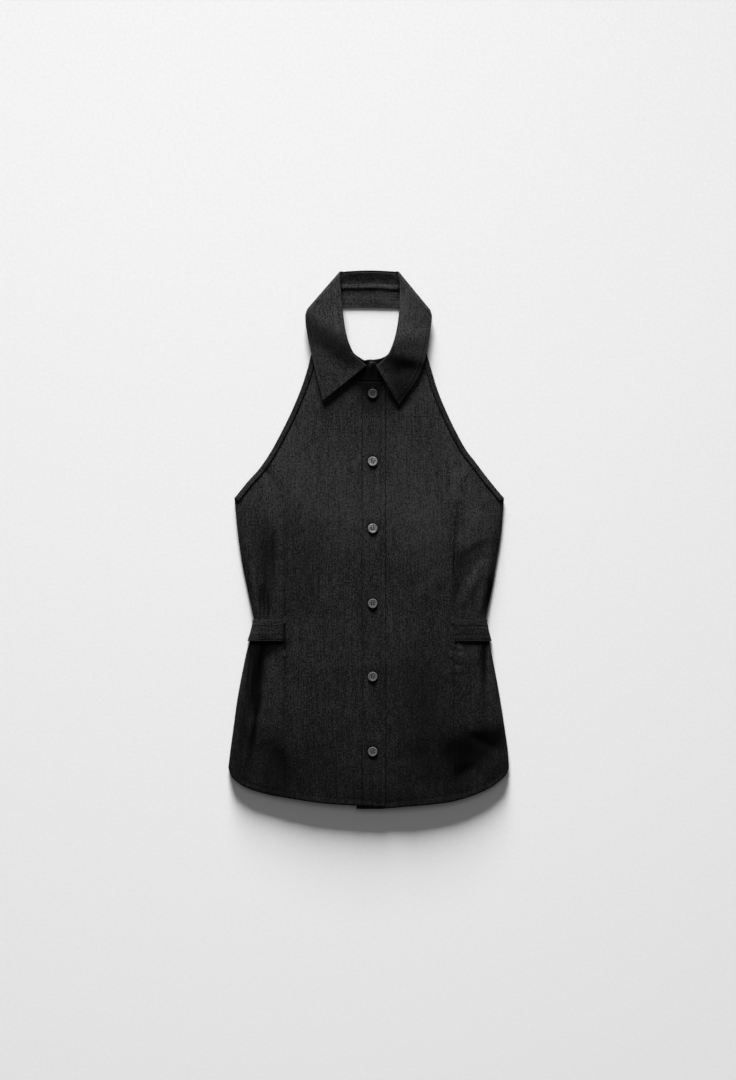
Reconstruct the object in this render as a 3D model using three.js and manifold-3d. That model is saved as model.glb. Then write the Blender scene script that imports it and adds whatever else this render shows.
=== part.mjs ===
import * as THREE from "three";
import Module from "manifold-3d";
import { mergeVertices } from "three/addons/utils/BufferGeometryUtils.js";

// Halter neck top in dark linen, buttoned down the front and laid flat on its back.
// Millimetres. +X is the right of the laid garment, +Y its neck, +Z up from the surface.
// Left and right are as seen from above.

// Cloth and its layers
const CLOTH = 1.2;
const GAP = 0.3;
const LAYER = CLOTH + GAP;
const SEAM = GAP / 2;

// Placket, from its seam to its free edge, and the button stand under it
const PLACKET_SEAM = -9.1;
const PLACKET_EDGE = 22.4;
const PLACKET_TOP = 211.0;
const PLACKET_FOOT = -353.6;
const STAND_EDGE = -16.2;
const STAND_SEAM = 19.8;
const STAND_FOOT = -357.7;
const STAND_BLEND = 60;

// Buttons
const BUTTON_X = 5.4;
const BUTTON_HEIGHTS = [194.1, 104.1, 15.0, -84.8, -181.9, -281.6];
const BUTTON_RADIUS = 6.4;
const BUTTON_THICK = 2.6;
const BUTTON_RIM = 1.8;
const BUTTON_DISH = 0.7;
const BUTTON_CHAMFER = 1.0;
const BUTTON_ROUND = 0.5;
const HOLE_RADIUS = 0.75;
const HOLE_PITCH = 2.6;

// Armhole bands, belt and back
const BAND_WIDTH = 7;
const BAND_CLOTH = 1.0;
const BAND_GAP = 0.5;
const BELT_TOP = -106.7;
const BELT_FOOT = -134.7;
const BELT_START = 113.6;
const BELT_JOIN = 100;
const BELT_FLARE = 1.4;
const BELT_EASE = 0.5;
const BELT_RAMP = 13;
const BELT_CLEAR = 2;
const BACK_TOP = 48;
const BACK_DIP = 6;
const BACK_INSET = 0.8;
const BACK_HEM_LIFT = 3;

// Collar: the fold at each side of the neck and the depths of its two layers
const FOLD_RADIUS = 4;
const STAND_RADIUS = FOLD_RADIUS - LAYER;
const STAND_TOP_SET = 1.5;
const STAND_FOLD = 33;
const NECK_GAP = 0.45;
const BACK_RISE = 1.4;
const BACK_LEAF_RISE = 1.4;

// Rows and columns of the cloth walls
const SEAM_ROWS = 22;
const ARMHOLE_ROWS = 10;
const CENTRE_COLUMNS = 9;
const SIDE_COLUMNS = 7;

// Outline of the front from the underarm to the neck
const ARMHOLE = [
  { y: 55.0, left: -178.7, right: 180.3 },
  { y: 78.8, left: -159.5, right: 160.6 },
  { y: 92.1, left: -147.4, right: 150.5 },
  { y: 105.4, left: -137.7, right: 140.6 },
  { y: 118.7, left: -129.3, right: 130.4 },
  { y: 145.3, left: -115.1, right: 115.6 },
  { y: 171.9, left: -102.1, right: 102.9 },
  { y: 198.5, left: -91.0, right: 92.1 },
  { y: 225.1, left: -82.1, right: 84.0 },
  { y: 246.4, left: -76.8, right: 77.8 },
  { y: 272.0, left: -69.2, right: 71.4 },
  { y: 300.0, left: -59.6, right: 63.4 },
];

// Outline of the front from the hem corner to the underarm
const SIDE = [
  { y: -303.6, left: -186.9, right: 186.9 },
  { y: -280.3, left: -184.1, right: 185.3 },
  { y: -253.7, left: -180.5, right: 181.5 },
  { y: -213.8, left: -175.1, right: 175.4 },
  { y: -173.9, left: -167.7, right: 168.2 },
  { y: -147.3, left: -161.9, right: 163.0 },
  { y: -136.7, left: -158.6, right: 161.0 },
  { y: -120.0, left: -154.4, right: 157.4 },
  { y: -108.0, left: -152.7, right: 156.1 },
  { y: -94.1, left: -155.4, right: 158.3 },
  { y: -67.5, left: -161.2, right: 164.1 },
  { y: -27.6, left: -169.2, right: 170.7 },
  { y: 12.3, left: -174.7, right: 176.8 },
  { y: 55.0, left: -178.7, right: 180.3 },
];

// Seams between centre and side panels, up to the armhole
const PRINCESS = [
  { y: -345.0, left: -111.0, right: 115.0 },
  { y: -240.0, left: -111.4, right: 113.6 },
  { y: -107.0, left: -111.4, right: 111.6 },
  { y: -27.6, left: -110.4, right: 112.8 },
  { y: 12.3, left: -109.6, right: 114.2 },
  { y: 46.4, left: -108.6, right: 118.4 },
  { y: 69.5, left: -110.4, right: 126.0 },
  { y: 86.0, left: -119.4, right: 132.6 },
  { y: 106.0, left: -134.4, right: 140.2 },
];
const PRINCESS_TOP = 106;

// Hem of the front, from one corner to the other
const HEM = [
  { x: -186.9, y: -303.6 },
  { x: -185.1, y: -310.0 },
  { x: -174.4, y: -322.3 },
  { x: -163.8, y: -329.0 },
  { x: -131.9, y: -339.0 },
  { x: -111.0, y: -342.8 },
  { x: -57.4, y: -350.6 },
  { x: -9.1, y: -353.8 },
  { x: 19.8, y: -357.0 },
  { x: 49.0, y: -354.8 },
  { x: 80.9, y: -352.1 },
  { x: 115.0, y: -347.2 },
  { x: 144.8, y: -337.6 },
  { x: 166.1, y: -327.0 },
  { x: 176.7, y: -318.4 },
  { x: 184.9, y: -309.6 },
  { x: 186.9, y: -303.6 },
];

// Height of the front cloth: at its side edge, how far it rises there and over what
// distance, and how far its middle stands over that
const LIE = [
  { y: -360, edge: 2.95, rise: 5.0, run: 10, crown: 4.6 },
  { y: -280, edge: 2.95, rise: 5.0, run: 10, crown: 3.6 },
  { y: -165, edge: 2.95, rise: 4.8, run: 10, crown: 3.2 },
  { y: -142, edge: 4.1, rise: 3.4, run: 10, crown: 3.2 },
  { y: -99, edge: 4.1, rise: 3.4, run: 10, crown: 3.2 },
  { y: -76, edge: 2.95, rise: 4.8, run: 10, crown: 3.4 },
  { y: 20, edge: 2.95, rise: 4.6, run: 11, crown: 3.8 },
  { y: 62, edge: 2.4, rise: 2.6, run: 12, crown: 4.6 },
  { y: 120, edge: 1.7, rise: 1.4, run: 14, crown: 5.4 },
  { y: 200, edge: 1.7, rise: 1.2, run: 14, crown: 6.0 },
  { y: 235, edge: 2.6, rise: 0.8, run: 14, crown: 5.4 },
  { y: 262, edge: 4.4, rise: 0.4, run: 14, crown: 3.6 },
  { y: 300, edge: 6.5, rise: 0.0, run: 14, crown: 0.8 },
];

// Largest folds of the front: middle, lean of x with y, half width, length, rise
const FOLDS = [
  { x: -147, y: -200, lean: 0.12, wide: 9, long: 130, rise: -1.6 },
  { x: -128, y: -18, lean: 0.0, wide: 8, long: 80, rise: -1.0 },
  { x: -142, y: -82, lean: 0.1, wide: 7, long: 50, rise: -1.2 },
  { x: 139, y: -60, lean: 0.38, wide: 9, long: 76, rise: 1.4 },
  { x: 152, y: -165, lean: 0.0, wide: 8, long: 62, rise: -1.3 },
  { x: 150, y: -268, lean: -1.4, wide: 12, long: 44, rise: -1.6 },
  { x: 128, y: -300, lean: 0.4, wide: 10, long: 66, rise: -1.2 },
];

// Collar from the neck fold to the front end. roll is where the leaf turns over,
// stand the top of the stand, seam its foot on the neckline, edge the leaf's free edge.
const COLLAR_LEFT = {
  side: "left",
  corner: new THREE.Vector2(-39.0, 356.6),
  foot: new THREE.Vector2(-81.0, 308.2),
  rows: [
    { at: 1, rollX: -38.2, rollY: 338.0, rollZ: 8.6, edgeX: -84.2, edgeY: 297.0, edgeZ: 7.6,
      standX: -39.2, standY: 337.0, standZ: 6.9, seamX: -59.7, seamY: 317.0, bulge: 0.5 },
    { at: 2, rollX: -35.9, rollY: 315.0, rollZ: 10.2, edgeX: -83.6, edgeY: 285.0, edgeZ: 7.4,
      standX: -36.7, standY: 315.0, standZ: 8.2, seamX: -59.6, seamY: 304.0, bulge: 1.0 },
    { at: 3, rollX: -33.3, rollY: 290.0, rollZ: 13.0, edgeX: -80.6, edgeY: 267.0, edgeZ: 7.6,
      standX: -34.1, standY: 290.0, standZ: 10.8, seamX: -56.8, seamY: 284.0, bulge: 1.5 },
    { at: 4, rollX: -28.8, rollY: 267.0, rollZ: 15.0, edgeX: -76.0, edgeY: 246.0, edgeZ: 8.6,
      standX: -29.4, standY: 266.6, standZ: 12.6, seamX: -51.0, seamY: 260.0, bulge: 1.6 },
    { at: 5, rollX: -21.3, rollY: 249.0, rollZ: 14.8, edgeX: -71.4, edgeY: 227.0, edgeZ: 9.4,
      standX: -20.9, standY: 249.6, standZ: 12.4, seamX: -40.0, seamY: 236.0, bulge: 1.6 },
    { at: 6, rollX: -12.0, rollY: 238.0, rollZ: 13.4, edgeX: -66.3, edgeY: 206.0, edgeZ: 10.0,
      standX: -11.0, standY: 241.6, standZ: 11.0, seamX: -27.0, seamY: 220.5, bulge: 1.5 },
    { at: 7, rollX: -2.9, rollY: 231.1, rollZ: 12.6, edgeX: -60.7, edgeY: 184.5, edgeZ: 10.2,
      standX: -1.6, standY: 236.8, standZ: 10.4, seamX: -10.0, seamY: 212.2, bulge: 1.5 },
    { at: 8, standX: 8.5, standY: 235.0, standZ: 10.2, seamX: 6.0, seamY: 211.3 },
    { at: 9, standX: 19.5, standY: 228.0, standZ: 10.0, seamX: 19.5, seamY: 211.3 },
  ],
};
const COLLAR_RIGHT = {
  side: "right",
  corner: new THREE.Vector2(40.5, 356.6),
  foot: new THREE.Vector2(81.7, 306.6),
  rows: [
    { at: 1, rollX: 42.2, rollY: 338.0, rollZ: 8.6, edgeX: 84.2, edgeY: 296.0, edgeZ: 7.6,
      standX: 43.0, standY: 337.0, standZ: 6.9, seamX: 63.0, seamY: 317.0, bulge: 0.5 },
    { at: 2, rollX: 41.7, rollY: 315.0, rollZ: 10.2, edgeX: 83.0, edgeY: 284.0, edgeZ: 7.4,
      standX: 42.5, standY: 315.0, standZ: 8.2, seamX: 63.4, seamY: 304.0, bulge: 1.0 },
    { at: 3, rollX: 39.8, rollY: 291.0, rollZ: 13.0, edgeX: 80.0, edgeY: 266.0, edgeZ: 7.6,
      standX: 40.6, standY: 291.0, standZ: 10.8, seamX: 61.0, seamY: 284.0, bulge: 1.5 },
    { at: 4, rollX: 35.3, rollY: 268.0, rollZ: 15.2, edgeX: 77.0, edgeY: 248.0, edgeZ: 8.6,
      standX: 35.9, standY: 267.6, standZ: 12.7, seamX: 56.0, seamY: 258.0, bulge: 1.6 },
    { at: 5, rollX: 27.6, rollY: 247.5, rollZ: 15.0, edgeX: 72.5, edgeY: 232.0, edgeZ: 9.4,
      standX: 27.4, standY: 248.6, standZ: 11.8, seamX: 46.0, seamY: 234.0, bulge: 1.6 },
    { at: 6, rollX: 18.8, rollY: 237.6, rollZ: 14.0, edgeX: 63.0, edgeY: 210.3, edgeZ: 10.0,
      standX: 18.6, standY: 242.0, standZ: 9.6, seamX: 34.0, seamY: 219.0, bulge: 1.5 },
    { at: 7, rollX: 9.8, rollY: 230.4, rollZ: 13.2, edgeX: 40.4, edgeY: 178.6, edgeZ: 10.2,
      standX: 8.8, standY: 239.8, standZ: 8.5, seamX: 19.6, seamY: 212.0, bulge: 1.5 },
    { at: 8, standX: -1.5, standY: 239.0, standZ: 8.4, seamX: 2.5, seamY: 211.3 },
    { at: 9, standX: -12.0, standY: 236.0, standZ: 8.3, seamX: -14.0, seamY: 211.3 },
  ],
};

const { lerp, clamp, smoothstep } = THREE.MathUtils;

// A table's column at a key, on a smooth curve through its rows
function read(table, key, column, at) {
  const rows = table.filter((row) => row[column] !== undefined);
  const last = rows.length - 1;
  const place = clamp(at, rows[0][key], rows[last][key]);
  let i = 0;
  while (i < last - 1 && place > rows[i + 1][key]) i += 1;
  const slope = (a, b) => (b[column] - a[column]) / (b[key] - a[key]);
  const here = slope(rows[i], rows[i + 1]);
  const start = i > 0 ? (slope(rows[i - 1], rows[i]) + here) / 2 : here;
  const end = i < last - 1 ? (here + slope(rows[i + 1], rows[i + 2])) / 2 : here;
  const span = rows[i + 1][key] - rows[i][key];
  const t = (place - rows[i][key]) / span;
  const ease = t * t * (3 - 2 * t);
  return (
    lerp(rows[i][column], rows[i + 1][column], ease) +
    span * t * (1 - t) * ((1 - t) * start - t * end)
  );
}

const sideEdge = (side, y) =>
  y > SIDE.at(-1).y ? read(ARMHOLE, "y", side, y) : read(SIDE, "y", side, y);
const hemAt = (x) => read(HEM, "x", "y", x);

// Height of the upper face of the front cloth over the surface
function frontHeight(x, y) {
  const left = sideEdge("left", y);
  const right = sideEdge("right", y);
  const half = (right - left) / 2;
  const q = Math.min(1, Math.abs(x - (left + right) / 2) / half);
  const lie = (column) => read(LIE, "y", column, y);
  const turn = Math.min(1, ((1 - q) * half) / lie("run"));
  const rounded = Math.sin((turn * Math.PI) / 2);
  const folds = FOLDS.reduce((sum, fold) => {
    const along = Math.min(1, Math.abs(y - fold.y) / (fold.long / 2));
    const across = (x - fold.x - fold.lean * (y - fold.y)) / fold.wide;
    return sum + fold.rise * Math.exp(-across * across) * Math.cos((along * Math.PI) / 2) ** 2;
  }, 0);
  return lie("edge") + rounded * (lie("rise") + folds) + lie("crown") * (1 - q * q);
}

// The right front runs one layer lower near the placket that covers its edge
const underHeight = (x, y) =>
  frontHeight(x, y) - LAYER * (1 - smoothstep(x, PLACKET_EDGE, STAND_BLEND));

// A point over the front cloth, moved out from its upper face by a distance
function overFront(x, y, out) {
  const step = 0.5;
  const slopeX = (frontHeight(x + step, y) - frontHeight(x - step, y)) / (2 * step);
  const slopeY = (frontHeight(x, y + step) - frontHeight(x, y - step)) / (2 * step);
  const normal = new THREE.Vector3(-slopeX, -slopeY, 1).normalize();
  return new THREE.Vector3(x, y, frontHeight(x, y)).addScaledVector(normal, out);
}

// Points of a grid from a function of the column and the row, both 0 to 1
function grid(columns, rows, point) {
  return Array.from({ length: rows + 1 }, (_, i) =>
    Array.from({ length: columns + 1 }, (_, j) => point(j / columns, i / rows)),
  );
}

// Closed cloth wall: a grid of points on its outer face and its thickness inwards
function wall(outer, thickness = CLOTH) {
  const rows = outer.length;
  const columns = outer[0].length;
  const normalAt = (i, j) => {
    const across = outer[i][Math.min(j + 1, columns - 1)].clone();
    across.sub(outer[i][Math.max(j - 1, 0)]);
    const along = outer[Math.min(i + 1, rows - 1)][j].clone();
    along.sub(outer[Math.max(i - 1, 0)][j]);
    return across.cross(along).normalize();
  };
  const positions = [];
  outer.forEach((row) => row.forEach((p) => positions.push(p.x, p.y, p.z)));
  outer.forEach((row, i) =>
    row.forEach((p, j) => {
      const inner = p.clone().addScaledVector(normalAt(i, j), -thickness);
      positions.push(inner.x, inner.y, inner.z);
    }),
  );
  const top = (i, j) => i * columns + j;
  const count = rows * columns;
  const faces = [];
  const quad = (a, b, c, d) => faces.push(a, b, c, a, c, d);
  for (let i = 0; i < rows - 1; i += 1) {
    for (let j = 0; j < columns - 1; j += 1) {
      const corners = [top(i, j), top(i, j + 1), top(i + 1, j + 1), top(i + 1, j)];
      quad(...corners);
      const [a, b, c, d] = corners.map((k) => k + count);
      faces.push(a, c, b, a, d, c);
    }
  }
  const rim = [];
  for (let j = 0; j < columns - 1; j += 1) rim.push(top(0, j));
  for (let i = 0; i < rows - 1; i += 1) rim.push(top(i, columns - 1));
  for (let j = columns - 1; j > 0; j -= 1) rim.push(top(rows - 1, j));
  for (let i = rows - 1; i > 0; i -= 1) rim.push(top(i, 0));
  rim.forEach((a, k) => {
    const b = rim[(k + 1) % rim.length];
    quad(b, a, a + count, b + count);
  });
  const geometry = new THREE.BufferGeometry();
  geometry.setAttribute("position", new THREE.Float32BufferAttribute(positions, 3));
  geometry.setIndex(faces);
  geometry.computeVertexNormals();
  return geometry;
}

// Patch between four edges: left and right run up, foot and top run to the right
function patch(left, right, foot, top, height) {
  return (u, v) => {
    const corner = (a, b, t) => a.clone().lerp(b, t);
    const p = corner(left(v), right(v), u)
      .add(corner(foot(u), top(u), v))
      .sub(corner(corner(foot(0), foot(1), u), corner(top(0), top(1), u), v));
    return new THREE.Vector3(p.x, p.y, height(p.x, p.y));
  };
}

const point = (x, y) => new THREE.Vector2(x, y);
const inwards = { left: 1, right: -1 };

// Seam between the panels, and the armhole over it, at a share of the way up
function princess(side, t, shift) {
  const foot = hemAt(PRINCESS[0][side]);
  const y = lerp(foot, PRINCESS_TOP, t);
  return point(read(PRINCESS, "y", side, y) + shift, y);
}
function armhole(side, from, to, t) {
  const y = lerp(from, to, t);
  return point(read(ARMHOLE, "y", side, y), y);
}

// Neckline on the foot of the stand, from the armhole to the placket
function neckline(collar, endX) {
  const shoulder = 2.3;
  let end = shoulder;
  const seamX = (at) => read(collar.rows, "at", "seamX", at);
  while (end < 9 && Math.abs(seamX(end) - endX) > 0.4) end += 0.01;
  const seam = (at) => point(seamX(at), read(collar.rows, "at", "seamY", at));
  return (t) => {
    const at = lerp(shoulder, end, t);
    const along = seam(at + 0.1).sub(seam(at - 0.1)).normalize();
    const below = point(along.y, -along.x).multiplyScalar(inwards[collar.side] * NECK_GAP);
    return seam(at).add(below).setX(seamX(at) + below.x * (1 - t));
  };
}

// Centre panel of one side, from the princess seam to its inner edge
function centrePanel(side, collar, innerX, height) {
  const rows = SEAM_ROWS + ARMHOLE_ROWS;
  const split = SEAM_ROWS / rows;
  const neck = neckline(collar, innerX);
  const footY = hemAt(innerX);
  const splitY = 60;
  const shoulder = neck(0);
  const outer = (v) => {
    if (v <= split + 1e-9) return princess(side, v / split, SEAM * inwards[side]);
    const t = (v - split) / (1 - split);
    const p = armhole(side, PRINCESS_TOP, shoulder.y, t);
    return p.lerp(point(shoulder.x, shoulder.y), smoothstep(t, 0.6, 1));
  };
  const inner = (v) =>
    v <= split
      ? point(innerX, lerp(footY, splitY, v / split))
      : point(innerX, lerp(splitY, neck(1).y, (v - split) / (1 - split)));
  const footX = outer(0).x;
  const foot = (t) => point(lerp(footX, innerX, t), hemAt(lerp(footX, innerX, t)));
  const flip = (edge) => (t) => edge(1 - t);
  const shape =
    side === "left"
      ? patch(outer, inner, foot, neck, height)
      : patch(inner, outer, flip(foot), flip(neck), height);
  return wall(grid(CENTRE_COLUMNS, rows, shape));
}

// Side panel, from the princess seam to the side edge, closer columns at the edge
function sidePanel(side) {
  const seam = (v) => princess(side, v, -SEAM * inwards[side]);
  const edge = (v) => point(read(SIDE, "y", side, lerp(HEM[0].y, 55, v)), lerp(HEM[0].y, 55, v));
  const top = (t) => {
    const p = armhole(side, PRINCESS_TOP, 55, t);
    return point(p.x - SEAM * inwards[side] * (1 - t), p.y);
  };
  const foot = (t) => {
    const x = lerp(seam(0).x, edge(0).x, t);
    return point(x, hemAt(x));
  };
  const closer = (t) => 1 - (1 - t) ** 1.7;
  const shape =
    side === "right"
      ? patch(seam, edge, foot, top, frontHeight)
      : patch(edge, seam, (t) => foot(1 - t), (t) => top(1 - t), frontHeight);
  const spread = side === "right" ? closer : (u) => 1 - closer(1 - u);
  return wall(grid(SIDE_COLUMNS, SEAM_ROWS, (u, v) => shape(spread(u), v)));
}

// Placket over the right front's button stand
function placket() {
  return wall(
    grid(4, 34, (u, v) => {
      const x = lerp(PLACKET_SEAM + SEAM, PLACKET_EDGE, u);
      const y = lerp(PLACKET_FOOT - 1.2 * u, PLACKET_TOP, v);
      return new THREE.Vector3(x, y, frontHeight(x, y));
    }),
  );
}
function buttonStand() {
  return wall(
    grid(4, 34, (u, v) => {
      const x = lerp(STAND_EDGE, STAND_SEAM - GAP, u);
      const y = lerp(STAND_FOOT, PLACKET_TOP, v);
      return new THREE.Vector3(x, y, underHeight(x, y));
    }),
  );
}

// Band on the armhole edge, made from the front's points, moved out
function armholeBand(side) {
  const from = ARMHOLE[0].y;
  const to = 272;
  const edge = (t) => armhole(side, from, to, t);
  return wall(
    grid(2, 30, (u, v) => {
      const share = side === "left" ? u : 1 - u;
      const along = edge(Math.min(v + 0.01, 1)).sub(edge(Math.max(v - 0.01, 0))).normalize();
      const inside = point(along.y, -along.x).multiplyScalar(inwards[side]);
      const p = edge(v).addScaledVector(inside, BAND_WIDTH * share + GAP);
      return overFront(p.x, p.y, BAND_GAP + BAND_CLOTH);
    }),
    BAND_CLOTH,
  );
}

// Belt tab: over the front from the princess seam, round the side edge and under the back
function beltTab(side) {
  const sign = -inwards[side];
  const over = 9;
  const round = 5;
  const section = (t, y) => {
    const flare = BELT_EASE + BELT_FLARE * ((BELT_TOP - y) / (BELT_TOP - BELT_FOOT));
    const edge = sideEdge(side, y) + sign * flare;
    const turn = 1.9;
    if (t <= over) {
      const share = 1 - (1 - t / over) ** 1.7;
      const x = lerp(sign * BELT_START, sideEdge(side, y), share);
      const p = overFront(x, y, LAYER + 0.2);
      return p.setX(p.x + sign * flare * share ** 4);
    }
    const centreX = edge + sign * (LAYER - turn);
    if (t <= over + round) {
      const angle = ((t - over - 1) / (round - 1)) * (Math.PI / 2);
      return new THREE.Vector3(
        centreX + sign * turn * Math.cos(angle), y, turn - turn * Math.sin(angle));
    }
    return new THREE.Vector3(sign * BELT_JOIN, y, 0);
  };
  const columns = over + round + 1;
  return wall(
    grid(columns, 4, (u, v) => {
      const t = side === "right" ? u * columns : (1 - u) * columns;
      return section(t, lerp(BELT_FOOT, BELT_TOP, v));
    }),
  );
}
function backBelt() {
  const width = 2 * (BELT_JOIN - GAP);
  const height = BELT_TOP - BELT_FOOT;
  const geometry = new THREE.BoxGeometry(width, height, CLOTH);
  return geometry.translate(0, BELT_FOOT + height / 2, CLOTH / 2);
}

// Back panel, flat on the surface but for the rise over the belt that passes under it
function back() {
  const low = BELT_FOOT - BELT_CLEAR;
  const high = BELT_TOP + BELT_CLEAR;
  const up = (y) => smoothstep(y, low - BELT_RAMP, low);
  const down = (y) => smoothstep(y, high, high + BELT_RAMP);
  const steps = (from, to, count) =>
    Array.from({ length: count }, (_, k) => lerp(from, to, k / count));
  const corner = HEM[0].y;
  const levels = [
    ...steps(corner, low - BELT_RAMP, 6),
    ...steps(low - BELT_RAMP, low, 3),
    low,
    ...steps(high, high + BELT_RAMP, 3),
    ...steps(high + BELT_RAMP, BACK_TOP, 6),
    BACK_TOP,
  ];
  const edge = (side, y) => sideEdge(side, y) + BACK_INSET * inwards[side];
  return wall(
    grid(12, levels.length, (u, v) => {
      const i = Math.round(v * levels.length);
      const y = levels[Math.max(i - 1, 0)];
      const x = lerp(edge("left", y), edge("right", y), u);
      const z = CLOTH + LAYER * up(y) * (1 - down(y));
      if (i === 0) return new THREE.Vector3(x, Math.min(hemAt(x) + BACK_HEM_LIFT, corner - 1), z);
      const dip = i === levels.length ? BACK_DIP * 4 * u * (1 - u) : 0;
      return new THREE.Vector3(x, y - dip, z);
    }),
  );
}

// Collar fold at the side of the neck: a point along it, on a turn of a radius
function fold(collar, along, radius, angle) {
  const down = collar.foot.clone().sub(collar.corner).normalize();
  const inside = point(-down.y, down.x).multiplyScalar(-Math.sign(down.x));
  const lean = Math.abs(down.x / down.y) * radius * (angle / (Math.PI / 2));
  const p = collar.corner.clone().addScaledVector(down, along + lean);
  p.addScaledVector(inside, FOLD_RADIUS - radius * Math.cos(angle));
  return new THREE.Vector3(p.x, p.y, FOLD_RADIUS + radius * Math.sin(angle));
}
const foldLength = (collar) => collar.foot.distanceTo(collar.corner);

// The layer of the collar across one station of its table
function leafAt(collar, at, share) {
  const value = (column) => read(collar.leaf, "at", column, at);
  const x = lerp(value("rollX"), value("edgeX"), share);
  const y = lerp(value("rollY"), value("edgeY"), share);
  const arch = 4 * share * (1 - share) * value("bulge");
  return new THREE.Vector3(x, y, lerp(value("rollZ"), value("edgeZ"), share) + arch);
}
function standAt(collar, at, share, height) {
  const value = (column) => read(collar.rows, "at", column, at);
  const seam = point(value("seamX"), value("seamY"));
  const x = lerp(value("standX"), seam.x, share);
  const y = lerp(value("standY"), seam.y, share);
  return new THREE.Vector3(x, y, lerp(value("standZ"), height(seam.x, seam.y), share));
}

// The first row of each table is where the fold at the neck ends
function withFold(collar) {
  const end = Math.PI / 2;
  const length = foldLength(collar);
  const names = {
    roll: fold(collar, 0, FOLD_RADIUS, end),
    edge: fold(collar, length, FOLD_RADIUS, end),
    stand: fold(collar, STAND_TOP_SET, STAND_RADIUS, end),
    seam: fold(collar, STAND_FOLD, STAND_RADIUS, end),
  };
  const first = { at: 0, bulge: 0 };
  Object.entries(names).forEach(([name, p]) => {
    first[name + "X"] = p.x;
    first[name + "Y"] = p.y;
    first[name + "Z"] = p.z;
  });
  collar.rows.unshift(first);
  collar.leaf = collar.rows.filter((row) => row.rollX !== undefined);
  return collar;
}
withFold(COLLAR_LEFT);
withFold(COLLAR_RIGHT);

// Stations of a collar layer from its left front end, round the back, to its right end
function collarLayer(columns, last, depth, radius, set, front, backRise) {
  const half = 2 * last;
  const turns = 6;
  const backs = 8;
  const stations = [];
  for (let k = 0; k <= half; k += 1) {
    stations.push((share) => front(COLLAR_LEFT, (half - k) / 2, share));
  }
  const angle = (k) => (Math.PI / 2) * (1 - (2 * k) / turns);
  const folded = (collar, k) => (share) =>
    fold(collar, lerp(set, depth(collar), share), radius, angle(k));
  for (let k = 1; k <= turns; k += 1) stations.push(folded(COLLAR_LEFT, k));
  for (let k = 1; k < backs; k += 1) {
    const t = k / backs;
    stations.push((share) => {
      const start = folded(COLLAR_LEFT, turns)(share);
      const end = folded(COLLAR_RIGHT, turns)(share);
      const p = start.lerp(end, t);
      return p.setY(p.y + 4 * t * (1 - t) * backRise(share));
    });
  }
  for (let k = turns; k >= 1; k -= 1) stations.push(folded(COLLAR_RIGHT, k));
  for (let k = 0; k <= half; k += 1) {
    stations.push((share) => front(COLLAR_RIGHT, k / 2, share));
  }
  return wall(
    grid(stations.length - 1, columns, (u, v) =>
      stations[Math.round(u * (stations.length - 1))](v),
    ),
  );
}
function collarLeaf() {
  const rise = (share) => lerp(BACK_RISE, BACK_LEAF_RISE, share);
  return collarLayer(6, 7, foldLength, FOLD_RADIUS, 0, leafAt, rise);
}
function collarStand() {
  const front = (collar, at, share) =>
    standAt(collar, at, share, (x, y) => {
      if (at < 2) return lerp(6.5, frontHeight(-59.6, 300), at / 2);
      return collar === COLLAR_LEFT ? frontHeight(x, y) : underHeight(x, y);
    });
  const depth = () => STAND_FOLD;
  return collarLayer(3, 9, depth, STAND_RADIUS, STAND_TOP_SET, front, () => BACK_RISE);
}

// Button with a raised rim, a dished middle and four holes
const wasm = await Module();
wasm.setup();
function solid(geometry) {
  const bare = geometry.clone();
  bare.deleteAttribute("normal");
  bare.deleteAttribute("uv");
  const merged = mergeVertices(bare, 1e-4);
  return new wasm.Manifold(
    new wasm.Mesh({
      numProp: 3,
      vertProperties: new Float32Array(merged.attributes.position.array),
      triVerts: new Uint32Array(merged.index.array),
    }),
  );
}
function button() {
  const dish = BUTTON_THICK - BUTTON_DISH;
  const rim = BUTTON_RADIUS - BUTTON_RIM;
  const profile = [
    [0, 0],
    [BUTTON_RADIUS - BUTTON_CHAMFER, 0],
    [BUTTON_RADIUS, BUTTON_CHAMFER],
    [BUTTON_RADIUS, BUTTON_THICK - BUTTON_ROUND],
    [BUTTON_RADIUS - BUTTON_ROUND, BUTTON_THICK],
    [rim, BUTTON_THICK],
    [rim - BUTTON_DISH, dish],
    [0, dish],
  ].map(([r, z]) => point(r, z));
  let disc = solid(new THREE.LatheGeometry(profile, 20).rotateX(Math.PI / 2));
  [-1, 1].forEach((sx) =>
    [-1, 1].forEach((sy) => {
      const hole = new THREE.CylinderGeometry(HOLE_RADIUS, HOLE_RADIUS, 3 * BUTTON_THICK, 6);
      hole.rotateX(Math.PI / 2);
      hole.translate((sx * HOLE_PITCH) / 2, (sy * HOLE_PITCH) / 2, 0);
      disc = disc.subtract(solid(hole));
    }),
  );
  const mesh = disc.getMesh();
  const geometry = new THREE.BufferGeometry();
  geometry.setAttribute("position", new THREE.Float32BufferAttribute(mesh.vertProperties, 3));
  geometry.setIndex([...mesh.triVerts]);
  geometry.computeVertexNormals();
  return geometry;
}

// Assembly
const top = new THREE.Group();
function add(name, geometry, color, roughness = 0.92) {
  const material = new THREE.MeshStandardMaterial({ color, roughness, metalness: 0 });
  const mesh = new THREE.Mesh(geometry, material);
  mesh.name = name;
  top.add(mesh);
  return mesh;
}
const LINEN = 0x252426;
const LINEN_BAND = 0x1e1d1f;
const BUTTON = 0x3a3a3d;

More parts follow.
